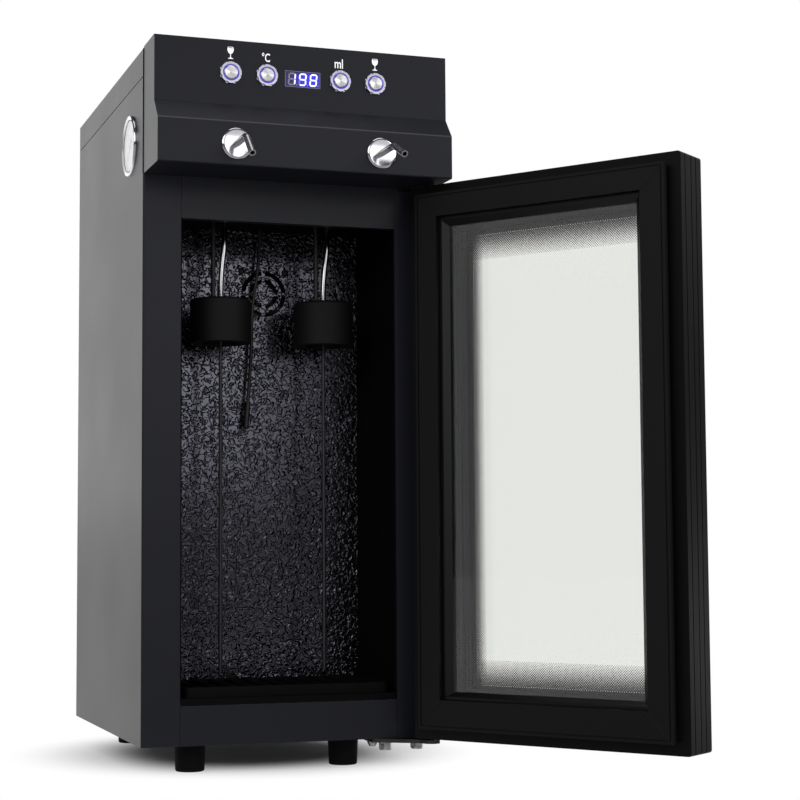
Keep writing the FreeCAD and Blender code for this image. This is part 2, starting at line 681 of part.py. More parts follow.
def pane(size, y0, y1):
    return box(-size[0], y0, size[1], size[0], y1, size[2])


def door_inner_frame():
    """A bevelled ring that holds the inner pane: high beside the gasket, low beside the glass."""
    outer = (GASKET_IN_W - 0.3, GASKET_IN_LOW + 0.3, GASKET_IN_HIGH - 0.3)
    y_high = DOOR_INNER + 4.5
    y_low = DOOR_INNER - 0.2
    back = box(-outer[0], y_low - 0.1, outer[1], outer[0], y_high, outer[2])
    low_size = LIGHT_SIZE
    wires = []
    for size, y in ((grown(outer, -2.5), y_high + 0.01), (low_size, y_low - 0.11)):
        corners = [V(-size[0], y, size[1]), V(size[0], y, size[1]), V(size[0], y, size[2]), V(-size[0], y, size[2])]
        wires.append(Part.makePolygon(corners + corners[:1]))
    return back.cut(Part.makeLoft(wires, True, True))


def glass_spacer():
    y0 = DOOR_OUTER + PANE + 0.4
    y1 = DOOR_INNER - 0.4 - PANE
    outer = (min(INNER_BAR_OUT[0], 94.0), INNER_BAR_OUT[1], INNER_BAR_OUT[2])
    return frame_ring(outer, LIGHT_SIZE, y0, y1)


def door_gasket():
    """A flat magnetic face on a narrower bellows foot, with a fine ridge along its outer edge."""
    face_y = FRONT - GASKET_GAP
    inner = (GASKET_IN_W, GASKET_IN_LOW, GASKET_IN_HIGH)
    outer = (GASKET_OUT_W, GASKET_OUT_LOW, GASKET_OUT_HIGH)
    plate = frame_ring(outer, inner, face_y - 4.2, face_y)
    plate = plate.cut(frame_ring(grown(outer, -2.2), grown(outer, -3.4), face_y - 0.9, face_y + 1))
    foot = frame_ring(grown(outer, -4.0), grown(inner, 4.0), DOOR_INNER, face_y - 4.2)
    return plate.fuse(foot).removeSplitter()


inner_pane_size = grown(LIGHT_SIZE, 5.0)
save("door_frame", opened(door_frame()))
save("door_inner_frame", opened(door_inner_frame()))
save("door_gasket", opened(door_gasket()))
save("glass_outer", opened(pane(GLASS_OUTER_SIZE, DOOR_OUTER, DOOR_OUTER + PANE)))
save("glass_inner", opened(pane(inner_pane_size, DOOR_INNER - 0.4 - PANE, DOOR_INNER - 0.4)))
save("glass_spacer", opened(glass_spacer()))


# Stoppers: a ribbed rubber cap over each bottle mouth, with a steel pickup tube through it
STOPPER_R = 26.0
STOPPER_LOW = BOTTOM + 334.0
STOPPER_HIGH = BOTTOM + 371.5
NECK_R = 15.5
PICKUP_R = 1.6
PICKUP_LOW = BOTTOM + 55.0


def stopper(x):
    top = STOPPER_HIGH - STOPPER_LOW
    profile = [
        (0, NECK_R), (0, STOPPER_R), (top - 2, STOPPER_R), (top, STOPPER_R - 2), (top, 0), (13, 0), (13, NECK_R),
    ]
    body = turned(profile, (x, BOTTLE_Y, STOPPER_LOW), (0, 0, 1))
    return body.cut(rod(PICKUP_R, (x, BOTTLE_Y, STOPPER_LOW - 1), (x, BOTTLE_Y, STOPPER_HIGH + 1)))


def pickup(x):
    return rod(PICKUP_R, (x, BOTTLE_Y, PICKUP_LOW), (x, BOTTLE_Y, STOPPER_HIGH))


save("stopper_left", stopper(-BOTTLE_X))
save("stopper_right", stopper(BOTTLE_X))
save("pickup_left", pickup(-BOTTLE_X))
save("pickup_right", pickup(BOTTLE_X))


# Lines between each stopper and the ceiling: the bent outlet tube and the gas hose beside it
LINE_TOP = CHAMBER_CEILING + 12.0
OUTLET_R = 2.4
HOSE_R = 2.0


def lines(x, bow):
    outlet = [
        (x, BOTTLE_Y, STOPPER_HIGH), (x, BOTTLE_Y, STOPPER_HIGH + 20),
        (x + 2.6 * bow, BOTTLE_Y + 1, STOPPER_HIGH + 52), (x + 2.2 * bow, BOTTLE_Y + 1, LINE_TOP)]
    hose = [
        (x - 6.5, BOTTLE_Y, STOPPER_HIGH), (x - 6.5, BOTTLE_Y, STOPPER_HIGH + 38), (x - 6.9, BOTTLE_Y, LINE_TOP)]
    return Part.makeCompound([tube(outlet, OUTLET_R), tube(hose, HOSE_R)])


save("lines_left", lines(-BOTTLE_X, 1.6))
save("lines_right", lines(BOTTLE_X, 1.8))


# Sensor lead: hangs from the ceiling in front of the back plate and ends in a steel probe
LEAD_POINTS = (
    (LEAD_X, LEAD_Y, CHAMBER_CEILING + 8.0),
    (LEAD_X, LEAD_Y, CHAMBER_CEILING - 26.0),
    (-7.9, LEAD_Y + 2.0, CHAMBER_CEILING - 70.0),
    (-8.2, LEAD_Y + 1.5, CHAMBER_CEILING - 111.0),
    (-11.6, LEAD_Y + 1.0, CHAMBER_CEILING - 152.4),
)
PROBE_R = 2.5
PROBE_L = 24.0


def sensor_probe():
    end = V(*LEAD_POINTS[-1])
    ahead = end - V(*LEAD_POINTS[-2])
    profile = [(0, 0), (0, PROBE_R), (PROBE_L - 1.2, PROBE_R), (PROBE_L, PROBE_R - 1.2), (PROBE_L, 0)]
    return turned(profile, end, ahead)


save("sensor_lead", tube(LEAD_POINTS, LEAD_R))
save("sensor_probe", sensor_probe())


# Cooling: a fan blows chamber air over the cold sink; the module pumps its heat to the hot sink
def fan_frame(x, z, size, y0, depth):
    half = size / 2
    body = rounded_box(x - half, y0, z - half, x + half, y0 + depth, z + half, 3, "Y")
    body = body.cut(rod(half - 1.5, (x, y0 - 1, z), (x, y0 + depth + 1, z)))
    hub = rod(size * 0.2, (x, y0 + depth - 2, z), (x, y0 + depth, z))
    body = body.fuse(hub)
    for i in range(4):
        arm = box(x, y0 + depth - 2, z - 1.5, x + half - 1, y0 + depth, z + 1.5)
        arm.rotate(V(x, 0, z), V(0, 1, 0), 45 + 90 * i)
        body = body.fuse(arm)
    return body.removeSplitter()


def impeller(x, z, size, y0, depth, blades=7):
    hub_r = size * 0.2
    tip_r = size / 2 - 2.5
    body = rod(hub_r, (x, y0, z), (x, y0 + depth, z))
    for i in range(blades):
        blade = prism([(hub_r - 1.0, y0 + 0.6), (hub_r - 1.0, y0 + 1.8), (tip_r, y0 + 1.8), (tip_r, y0 + 0.6)],
                      "Z", -size * 0.14, size * 0.14)
        blade.rotate(V(0, y0 + depth / 2, 0), V(1, 0, 0), 32)
        blade.translate(V(x, depth / 2 - 0.9, z))
        blade.rotate(V(x, 0, z), V(0, 1, 0), 360.0 / blades * i)
        body = body.fuse(blade)
    keep = rod(tip_r, (x, y0, z), (x, y0 + depth, z))
    return body.common(keep).removeSplitter()


INNER_FAN_Y = CHAMBER_BACK + SHEET + 0.3
HOT_Y0 = FOAM_BACK + 24.0
REAR_FAN_D = 25.0
REAR_FAN_Y = REAR - SHEET - 0.5 - REAR_FAN_D
HOT_Y1 = REAR_FAN_Y - 1.0


def finned_sink(x, z, size, y_base, y_tip, base, fins, fin_t):
    half = size / 2
    sign = 1 if y_tip > y_base else -1
    y_step = y_base + sign * base
    body = box(x - half, min(y_base, y_step), z - half, x + half, max(y_base, y_step), z + half)
    pitch = (size - fin_t) / (fins - 1)
    for i in range(fins):
        x0 = x - half + i * pitch
        body = body.fuse(box(x0, min(y_step, y_tip), z - half, x0 + fin_t, max(y_step, y_tip), z + half))
    return body.removeSplitter()


def cooler_module():
    half = 20.0
    block = box(FAN_X - half, COLD_Y1, FAN_Z - half, FAN_X + half, HOT_Y0 - 4, FAN_Z + half)
    wafer = box(FAN_X - half - 1, HOT_Y0 - 4, FAN_Z - half - 1, FAN_X + half + 1, HOT_Y0, FAN_Z + half + 1)
    return block.fuse(wafer)


save("inner_fan_frame", fan_frame(FAN_X, FAN_Z, INNER_FAN, INNER_FAN_Y, 14.5))
save("inner_impeller", impeller(FAN_X, FAN_Z, INNER_FAN - 2, INNER_FAN_Y + 0.6, 11.0))
save("cold_sink", finned_sink(FAN_X, FAN_Z, COLD_SINK_W, COLD_Y1, COLD_Y0, 5, 12, 1.2))
save("cooler_module", cooler_module())
save("hot_sink", finned_sink(FAN_X, FAN_Z - 8, HOT_SINK_W, HOT_Y0, HOT_Y1, 7, 14, 1.5))
save("rear_fan_frame", fan_frame(FAN_X, REAR_FAN_Z, REAR_FAN, REAR_FAN_Y, REAR_FAN_D))
save("rear_impeller", impeller(FAN_X, REAR_FAN_Z, REAR_FAN - 2, REAR_FAN_Y + 0.8, 21.0, 7))


# Gas and wine circuit in the top compartment
VALVE_Y = FRONT + 40.0
VALVE_Z = FOAM_TOP + 18.0


def pinch_valve(x):
    coil = rounded_box(x - 15, VALVE_Y, FOAM_TOP, x + 15, VALVE_Y + 42, FOAM_TOP + 32, 3)
    jaw = box(x - 9, VALVE_Y - 10, VALVE_Z - 7, x + 9, VALVE_Y, VALVE_Z + 7)
    slot = box(x - 2.6, VALVE_Y - 11, VALVE_Z - 2.6, x + 2.6, VALVE_Y - 3, VALVE_Z + 8)
    return coil.fuse(jaw).cut(slot).removeSplitter()


def gas_manifold():
    y0 = FRONT + 130
    block = rounded_box(-48, y0, FOAM_TOP, 48, y0 + 26, FOAM_TOP + 24, 2)
    for x in (-30, 30):
        block = block.fuse(rod(11, (x, y0 + 13, FOAM_TOP + 24), (x, y0 + 13, FOAM_TOP + 62)))
    knob = turned([(0, 0), (0, 12), (18, 12), (22, 9), (22, 0)], (0, y0 + 13, FOAM_TOP + 24), (0, 0, 1))
    return block.fuse(knob).removeSplitter()


def gas_inlet():
    bore = 3.1
    profile = [
        (-20, 0), (-20, GAS_BODY_R), (0, GAS_BODY_R), (0, 9.0), (3, 9.0), (3, 7.0), (13, 7.0), (13, bore),
        (-3, bore), (-3, 0),
    ]
    return turned(profile, (GAS_X, REAR, GAS_Z), (0, 1, 0))


def mains_inlet():
    y0 = REAR - 22
    body = box(MAINS_X - 13.5, y0, MAINS_Z - 9.7, MAINS_X + 13.5, REAR, MAINS_Z + 9.7)
    plate = rounded_box(MAINS_X - 25, REAR, MAINS_Z - 12, MAINS_X + 25, REAR + 2.5, MAINS_Z + 12, 4, "Y")
    shell = [(-12.2, -6.6), (-12.2, 4.6), (-9.2, 7.6), (9.2, 7.6), (12.2, 4.6), (12.2, -6.6)]
    socket = prism(shell, "Y", y0 + 4, REAR + 3)
    socket.translate(V(MAINS_X, 0, MAINS_Z))
    body = body.fuse(plate).cut(socket)
    for x, z in ((-7, 0), (7, 0), (0, 3.5)):
        body = body.fuse(box(MAINS_X + x - 1, y0 + 3, MAINS_Z + z - 2.2, MAINS_X + x + 1, REAR - 3, MAINS_Z + z + 2.2))
    return body.removeSplitter()


def power_supply():
    x0 = -110.0
    z0 = BOTTOM + 75
    y0 = FOAM_BACK + 30
    wall = 1.2
    body = rounded_box(x0, y0, z0, x0 + 98, y0 + 42, z0 + 140, 1.5)
    body = body.cut(box(x0 + wall, y0 + wall, z0 + wall, x0 + 98 - wall, y0 + 42 - wall, z0 + 140 - wall))
    for i in range(10):
        z = z0 + 14 + i * 12
        body = body.cut(box(x0 + 12, y0 + 40, z, x0 + 86, y0 + 43, z + 4))
    return body


save("pinch_valves", Part.makeCompound([pinch_valve(x) for x in (-BOTTLE_X - 6, BOTTLE_X + 6)]))
save("gas_manifold", gas_manifold())
save("gas_inlet", gas_inlet())
save("mains_inlet", mains_inlet())
save("power_supply", power_supply())
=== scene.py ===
import math

import bpy
from mathutils import Matrix, Vector


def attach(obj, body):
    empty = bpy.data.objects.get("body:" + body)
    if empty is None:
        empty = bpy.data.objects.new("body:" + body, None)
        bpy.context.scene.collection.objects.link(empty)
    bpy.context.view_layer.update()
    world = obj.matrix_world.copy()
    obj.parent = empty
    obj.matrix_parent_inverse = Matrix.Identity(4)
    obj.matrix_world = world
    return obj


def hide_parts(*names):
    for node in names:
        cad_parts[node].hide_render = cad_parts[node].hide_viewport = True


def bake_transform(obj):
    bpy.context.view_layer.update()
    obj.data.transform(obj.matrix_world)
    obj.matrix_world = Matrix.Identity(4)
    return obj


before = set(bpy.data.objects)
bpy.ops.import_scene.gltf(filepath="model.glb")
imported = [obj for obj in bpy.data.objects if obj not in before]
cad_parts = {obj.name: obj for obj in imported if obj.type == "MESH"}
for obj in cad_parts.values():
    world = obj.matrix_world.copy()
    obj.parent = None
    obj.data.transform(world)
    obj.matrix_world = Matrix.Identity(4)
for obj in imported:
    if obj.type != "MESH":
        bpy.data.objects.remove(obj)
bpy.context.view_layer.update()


# Sensor lead: a thin black PVC cable that hangs from the chamber ceiling in front of the fan
# grille, and ends in a steel probe sleeve. It is free along its length.
LEAD_RADIUS = 0.0016
LEAD_ROUTE = [
    (-0.0010, -0.0610, 0.4710), (-0.0010, -0.0610, 0.4370), (-0.0079, -0.0590, 0.3930),
    (-0.0082, -0.0595, 0.3520), (-0.0116, -0.0600, 0.3106),
]


def linear(code):
    """The linear colour of an sRGB hex value."""
    parts = [int(code[i:i + 2], 16) / 255 for i in (1, 3, 5)]
    return tuple(c / 12.92 if c <= 0.04045 else ((c + 0.055) / 1.055) ** 2.4 for c in parts) + (1.0,)


def add(mat, kind, put=None, link=None, **settings):
    """Adds one shader node, sets its sockets and options, and links what comes into it."""
    node = mat.node_tree.nodes.new("ShaderNode" + kind)
    for name, value in settings.items():
        setattr(node, name, value)
    for socket, value in (put or {}).items():
        node.inputs[socket].default_value = value
    for socket, source in (link or {}).items():
        mat.node_tree.links.new(source, node.inputs[socket])
    return node


def finish(name, colour, **sockets):
    """A new material whose shader has this colour and these socket values."""
    mat = bpy.data.materials.new(name)
    mat.use_nodes = True
    shader = mat.node_tree.nodes["Principled BSDF"]
    shader.inputs["Base Color"].default_value = linear(colour)
    for socket, value in sockets.items():
        shader.inputs[socket.replace("_", " ")].default_value = value
    return mat


def feed(mat, socket, source):
    """Links a source to a socket of the material's shader."""
    mat.node_tree.links.new(source, mat.node_tree.nodes["Principled BSDF"].inputs[socket])


def uneven(mat, socket, low, high, scale, detail=2.0):
    """Lets a shader value wander between two levels, over cloudy patches 1 / scale metres wide."""
    coords = add(mat, "TexCoord")
    patches = add(mat, "TexNoise", {"Scale": scale, "Detail": detail}, {"Vector": coords.outputs["Object"]})
    level = add(mat, "MapRange", {"To Min": low, "To Max": high}, {"Value": patches.outputs["Fac"]})
    feed(mat, socket, level.outputs["Result"])
    return patches


def dress(mat, *names):
    """Gives CAD nodes their material."""
    for name in names:
        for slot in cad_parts[name].material_slots:
            slot.material = mat


def coat(piece, mat):
    """Gives a new piece one material all over."""
    piece.data.materials.clear()
    piece.data.materials.append(mat)


def curve_along(name, points, radius, order=3):
    """A round NURBS tube in metres through the given control points."""
    data = bpy.data.curves.new(name, "CURVE")
    data.dimensions = "3D"
    line = data.splines.new("NURBS")
    line.points.add(len(points) - 1)
    for point, place in zip(line.points, points):
        point.co = (*place, 1.0)
    line.order_u = order
    line.use_endpoint_u = True
    line.resolution_u = 12
    data.bevel_depth = radius
    data.bevel_resolution = 5
    data.use_fill_caps = True
    piece = bpy.data.objects.new(name, data)
    bpy.context.collection.objects.link(piece)
    return piece


# Extruded soft PVC: even and slightly waxy, with wear in its gloss in patches of 6 mm
lead_pvc = finish("pvc_cable_jacket", "#141416", Roughness=0.42)
uneven(lead_pvc, "Roughness", 0.34, 0.52, 160.0)

lead = curve_along("sensor_lead_jacket", LEAD_ROUTE, LEAD_RADIUS)
coat(lead, lead_pvc)
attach(lead, "cabinet")
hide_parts("sensor_lead")
dress(lead_pvc, "sensor_probe")


# Cabinet skins: folded sheet steel with a satin black powder coat. The coat is smooth from afar,
# has a fine orange peel close up, and turns bright where it is seen along its surface.
# The second colour is the painted highlight on the fascia's lower fold
POWDER, POWDER_PAINTED_HIGHLIGHT = "#1D1E25", "#46464C"
FOLD_Z, FOLD_FRONT_Y = 0.5243, -0.2066
HIGHLIGHT_LINE_CORE, HIGHLIGHT_LINE_EDGE = 0.0003, 0.0009
powder = finish("satin_powder_coated_steel", POWDER, Roughness=0.36, Specular_IOR_Level=0.2)
uneven(powder, "Roughness", 0.33, 0.41, 9.0, 3.0)

# The peel's dimples are 1.4 mm wide, coarser than real ones, so that they show at all
coords = add(powder, "TexCoord")
peel = add(powder, "TexNoise", {"Scale": 700.0, "Detail": 2.0}, {"Vector": coords.outputs["Object"]})
relief = add(powder, "Bump", {"Strength": 0.16, "Distance": 0.0003}, {"Height": peel.outputs["Fac"]})
feed(powder, "Normal", relief.outputs["Normal"])
dress(powder, "side_panel_left", "side_panel_right", "top_cover", "base_plate", "front_bottom_rail",
      "front_top_rail", "fascia", "rear_panel")

# A painted highlight: a fine paler line along the fascia's lower fold, where the bend catches the light
xyz = add(powder, "SeparateXYZ", link={"Vector": coords.outputs["Object"]})
off = add(powder, "Math", {1: FOLD_Z}, {0: xyz.outputs["Z"]}, operation="SUBTRACT")
off = add(powder, "Math", link={0: off.outputs["Value"]}, operation="ABSOLUTE")
line = add(powder, "MapRange",
           {"From Min": HIGHLIGHT_LINE_CORE, "From Max": HIGHLIGHT_LINE_EDGE, "To Min": 1.0, "To Max": 0.0},
           {"Value": off.outputs["Value"]})
front = add(powder, "Math", {1: FOLD_FRONT_Y}, {0: xyz.outputs["Y"]}, operation="LESS_THAN")
line = add(powder, "Math", link={0: line.outputs["Result"], 1: front.outputs["Value"]},
           operation="MULTIPLY")
tone = add(powder, "ValToRGB", link={"Fac": line.outputs["Value"]})
tone.color_ramp.elements[0].color = linear(POWDER)
tone.color_ramp.elements[1].color = linear(POWDER_PAINTED_HIGHLIGHT)
feed(powder, "Base Color", tone.outputs["Color"])


# Chamber back: stucco-embossed aluminium, lacquered black. The raised worms of the embossing,
# 4 mm apart, catch the light as short bright strokes.
stucco = finish("stucco_embossed_black_aluminium", "#5A5A62", Metallic=1.0, Roughness=0.2)
uneven(stucco, "Roughness", 0.14, 0.22, 120.0, 1.0)
coords = add(stucco, "TexCoord")
worms = add(stucco, "TexNoise", {"Scale": 250.0, "Detail": 0.5, "Roughness": 0.4, "Distortion": 1.0},
            {"Vector": coords.outputs["Object"]})
crest = add(stucco, "MapRange", {"From Min": 0.40, "From Max": 0.62}, {"Value": worms.outputs["Fac"]},
            interpolation_type="SMOOTHSTEP")
relief = add(stucco, "Bump", {"Strength": 1.0, "Distance": 0.0010}, {"Height": crest.outputs["Result"]})
feed(stucco, "Normal", relief.outputs["Normal"])
dress(stucco, "liner_back")


# Chamber sides, floor and ceiling: plain sheet, sprayed with a flat black lacquer and folded.
# They are deeper black than the front and hardly mirror anything.
lacquer = finish("smooth_black_lacquer", "#050506", Roughness=0.6, Specular_IOR_Level=0.08)
uneven(lacquer, "Roughness", 0.54, 0.66, 30.0)
dress(lacquer, "liner_side_left", "liner_side_right", "liner_ceiling", "liner_floor")


# Fan grille screws: four small pan-head screws at the corners of the chamber fan, blackened steel
# with a cross recess, driven through the back plate of the liner.
FAN_X, FAN_Z, FAN_HOLE = 0.0048, 0.4075, 0.020
PLATE_Y = -0.052
GRILLE_HEAD_R, GRILLE_HEAD_H = 0.0031, 0.0016


def deselect():
    bpy.ops.object.select_all(action="DESELECT")


def pick(piece):
    """Selects one piece alone and makes it the active one."""
    deselect()
    piece.select_set(True)
    bpy.context.view_layer.objects.active = piece


def settle():
    """Applies the active piece's place, turn and size to its mesh."""
    bpy.ops.object.transform_apply(location=True, rotation=True, scale=True)


def turned(name, profile, sides=48):
    """Extrudes a ring of edges along Z through (distance, radius) steps and closes its doubles."""
    deselect()
    first = profile[0]
    bpy.ops.mesh.primitive_circle_add(vertices=sides, radius=first[1], location=(0, 0, first[0]))
    settle()
    piece = bpy.context.object
    piece.name = name
    bpy.ops.object.mode_set(mode="EDIT")
    for (low, wide), (high, narrow) in zip(profile, profile[1:]):
        bpy.ops.mesh.extrude_edges_move(TRANSFORM_OT_translate={"value": (0, 0, high - low)})
        share = narrow / wide
        bpy.ops.transform.resize(value=(share, share, 1), center_override=(0, 0, high))
    bpy.ops.mesh.select_all(action="SELECT")
    bpy.ops.mesh.remove_doubles(threshold=0.000002)
    bpy.ops.mesh.fill_holes(sides=0)
    bpy.ops.mesh.normals_make_consistent(inside=False)
    bpy.ops.object.mode_set(mode="OBJECT")
    return piece


def face_to(piece, direction, place):
    """Turns a piece's Z axis to a direction, moves it to its place, and applies both."""
    pick(piece)
    turn = Vector(direction).to_track_quat("Z", "Y").to_matrix().to_4x4()
    piece.matrix_world = Matrix.Translation(place) @ turn
    settle()
    return piece


def soften(piece, angle=35):
    """Shades a piece smooth over edges flatter than an angle."""
    pick(piece)
    bpy.ops.object.shade_smooth_by_angle(angle=math.radians(angle))
    return piece


def joined(name, pieces):
    """Makes one piece of several."""
    deselect()
    for piece in pieces:
        piece.select_set(True)
    bpy.context.view_layer.objects.active = pieces[0]
    bpy.ops.object.join()
    pieces[0].name = name
    return pieces[0]


def carve(piece, tool):
    """Cuts a tool piece out of a piece with an applied Boolean."""
    pick(piece)
    cut = piece.modifiers.new("cut", "BOOLEAN")
    cut.operation = "DIFFERENCE"
    cut.solver = "EXACT"
    cut.object = tool
    bpy.ops.object.modifier_apply(modifier="cut")
    bpy.data.objects.remove(tool)


def slab(name, size, place):
    """A block of that size about its place."""
    deselect()
    bpy.ops.mesh.primitive_cube_add(size=1, location=place)
    piece = bpy.context.object
    piece.name = name
    piece.scale = size
    settle()
    return piece


def screw(radius, height, direction, place):
    """A pan head with a straight flank and a rounded shoulder, and a cross cut into its top."""
    head = turned("screw", [
        (0, radius), (height * 0.45, radius), (height * 0.85, radius * 0.8), (height, radius * 0.45),
    ], 24)
    span, width = radius * 1.15, radius * 0.28
    for size in ((span, width, height), (width, span, height)):
        carve(head, slab("recess", size, (0, 0, height * 0.95)))
    return soften(face_to(head, direction, place), 30)


# Hardened steel under black oxide: nearly black, with a dull metal glint in grains of 1 mm
black_oxide = finish("black_oxide_steel", "#1A1A1C", Metallic=0.7, Roughness=0.38)
uneven(black_oxide, "Roughness", 0.3, 0.5, 900.0)

grille_screws = joined("grille_screws", [
    screw(GRILLE_HEAD_R, GRILLE_HEAD_H, (0, -1, 0), (FAN_X + i * FAN_HOLE, PLATE_Y, FAN_Z + k * FAN_HOLE))
    for i in (-1, 1) for k in (-1, 1)])
coat(grille_screws, black_oxide)
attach(grille_screws, "cabinet")


# Rear panel screws: the same kind of screw, one size up. Four along each edge of the panel hold
# it to the folded flanges of the side panels.
REAR_PLATE, REAR_SCREW_X = 0.152, 0.1035
REAR_SCREW_ZS = (0.034, 0.205, 0.375, 0.545)
REAR_HEAD_R, REAR_HEAD_H = 0.0036, 0.0018
rear_screws = joined("rear_panel_screws", [
    screw(REAR_HEAD_R, REAR_HEAD_H, (0, 1, 0), (side * REAR_SCREW_X, REAR_PLATE, z))
    for side in (-1, 1) for z in REAR_SCREW_ZS])
coat(rear_screws, black_oxide)
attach(rear_screws, "cabinet")


# Insulation: rigid polyurethane foam, foamed in place between the liner and the skins. It is pale
# and dull, with pores of 2 to 3 mm where it is cut.
foam = finish("rigid_polyurethane_foam", "#D9CFA8", Roughness=0.9)
coords = add(foam, "TexCoord")
pores = add(foam, "TexVoronoi", {"Scale": 420.0}, {"Vector": coords.outputs["Object"]})
relief = add(foam, "Bump", {"Strength": 0.5, "Distance": 0.0008}, {"Height": pores.outputs["Distance"]})
feed(foam, "Normal", relief.outputs["Normal"])
dress(foam, "insulation")


# Floor tray and feet: black rubber, moulded in one piece each. The tray lies loose on the chamber
# floor, and the feet are screwed to the base.
def mottled(mat, dark, light, scale, detail=2.0):
    """Lets the colour wander between two sRGB values, over cloudy patches 1 / scale metres wide."""
    coords = add(mat, "TexCoord")
    patches = add(mat, "TexNoise", {"Scale": scale, "Detail": detail}, {"Vector": coords.outputs["Object"]})
    tone = add(mat, "ValToRGB", link={"Fac": patches.outputs["Fac"]})
    tone.color_ramp.elements[0].color = linear(dark)
    tone.color_ramp.elements[1].color = linear(light)
    feed(mat, "Base Color", tone.outputs["Color"])
    return patches


# Moulded rubber: matt and deep black, with a breath of dust in patches of 18 mm
tray_rubber = finish("moulded_black_rubber", "#080808", Roughness=0.75, Specular_IOR_Level=0.12)
dust = mottled(tray_rubber, "#050505", "#0B0B0C", 55.0, 5.0)
relief = add(tray_rubber, "Bump", {"Strength": 0.3, "Distance": 0.0003}, {"Height": dust.outputs["Fac"]})
feed(tray_rubber, "Normal", relief.outputs["Normal"])
dress(tray_rubber, "bottle_tray", "feet")


# Seam beads: black cords of the same rubber, pressed into the seams where the fascia meets the
# side panels. From the side each is seen as a fine dark line.
BEAD_X, BEAD_Y, BEAD_LOW = 0.12515, -0.15245, 0.4889
BEAD_R, BEAD_TIP_R, BEAD_LENGTH = 0.0005, 0.0001, 0.1042


def bead(x):
    """One upright cord with pinched ends."""
    rod = turned("bead", [
        (0.0, BEAD_TIP_R), (0.0, BEAD_R), (BEAD_LENGTH, BEAD_R), (BEAD_LENGTH, BEAD_TIP_R)], 16)
    return soften(face_to(rod, (0, 0, 1), (x, BEAD_Y, BEAD_LOW)))


beads = joined("seam_beads", [bead(-BEAD_X), bead(BEAD_X)])
coat(beads, tray_rubber)
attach(beads, "cabinet")


# Hinge: two brackets cut and bent from thick plate, each held by two hex bolts from below or
# above. The door turns on the pins riveted into them.

# Zinc plate: bright and bluish, clouded in blooms of 4 mm
zinc = finish("zinc_plated_steel", "#B9BBBE", Metallic=1.0, Roughness=0.3)
mottled(zinc, "#3A3B3E", "#E2E4E6", 240.0, 4.0)
uneven(zinc, "Roughness", 0.05, 0.16, 240.0, 4.0)
dress(zinc, "hinge_bolts")

# Burnished plate: brownish grey, patchy from the rollers, with a soft dark shine
burnished = finish("burnished_dark_steel", "#3A3632", Metallic=1.0, Roughness=0.4)
mottled(burnished, "#2A2623", "#5A5650", 90.0, 3.0)
dress(burnished, "hinge_bracket_bottom", "hinge_bracket_top")


# Push buttons: chromed bezels with gripping notches, turned steel caps, and a moulded light ring
# between the two that glows blue-violet. Each is held by a nut behind the fascia.
BUTTON_XS = (-0.0620, -0.0314, 0.0314, 0.0620)
BUTTON_Z = 0.5672
UPPER_FACE = -0.1936
BEZEL_FACE = UPPER_FACE - 0.00215
RING_IN, RING_OUT, RING_CHAMFER = 0.0059, 0.0069, 0.0002
RING_FLANK, RING_H = 0.0002, 0.0003

# Satin chrome: a bright, slightly violet mirror that blurs the room
satin_chrome = finish("satin_chrome", "#B6B4C2", Metallic=1.0, Roughness=0.15)
uneven(satin_chrome, "Roughness", 0.08, 0.2, 420.0)
dress(satin_chrome, "button_bezels")

# Steel faced on a lathe: fine rings about the axis spread the light into a fan
turned_steel = finish("lathe_turned_steel", "#ECEAEC", Metallic=1.0, Roughness=0.34, Anisotropic=0.85,
                      Anisotropic_Rotation=0.25)
about = add(turned_steel, "Tangent", direction_type="RADIAL", axis="Y")
feed(turned_steel, "Tangent", about.outputs["Tangent"])
uneven(turned_steel, "Roughness", 0.28, 0.42, 240.0)
dress(turned_steel, "button_1", "button_2", "button_3", "button_4")

# Cast acrylic lit from behind: a blue-violet glow that swells a little from place to place
light_ring = finish("lit_violet_acrylic", "#4A42A8", Roughness=0.35, Emission_Color=linear("#5A50E8"))
uneven(light_ring, "Emission Strength", 0.2, 0.45, 260.0)

rings = []
for x in BUTTON_XS:
    ring = turned("ring", [
        (0.0, RING_IN), (0.0, RING_OUT), (RING_FLANK, RING_OUT), (RING_H, RING_OUT - RING_CHAMFER),
        (RING_H, RING_IN + RING_CHAMFER), (RING_FLANK, RING_IN), (0.0, RING_IN)])
    rings.append(soften(face_to(ring, (0, -1, 0), (x, BEZEL_FACE, BUTTON_Z))))
lit_rings = joined("button_light_rings", rings)
coat(lit_rings, light_ring)
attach(lit_rings, "cabinet")


# Labels above the buttons: a wine-glass pictogram over the outer two, degrees over the second and
# millilitres over the third, screen-printed in white.
INK = 0.00012
BOLDER = 0.00011
SIGN_Z = 0.5865
WALL = 0.00045
UPRIGHT = Matrix.Rotation(math.pi / 2, 4, "X")

# Screen ink: opaque, flat white, with a painted glow that makes it a little brighter than the room so that it
# reads at once
print_white = finish("white_ink_with_painted_glow", "#FFFFFF", Roughness=0.5, Emission_Strength=0.3)
mottled(print_white, "#F2F2F2", "#FFFFFF", 1500.0)


def thicken(piece, height):
    """Extrudes a flat piece to a thickness and turns its faces outwards."""
    pick(piece)
    bpy.ops.object.mode_set(mode="EDIT")
    bpy.ops.mesh.select_all(action="SELECT")
    bpy.ops.mesh.extrude_region_move(TRANSFORM_OT_translate={"value": (0, 0, height)})
    bpy.ops.mesh.select_all(action="SELECT")
    bpy.ops.mesh.normals_make_consistent(inside=False)
    bpy.ops.object.mode_set(mode="OBJECT")
    return piece


def plate(width, height, y=0.0):
    """A flat rectangle in the XY plane."""
    deselect()
    bpy.ops.mesh.primitive_plane_add(size=1, location=(0, y, 0))
    piece = bpy.context.object
    piece.scale = (width, height, 1)
    settle()
    return piece


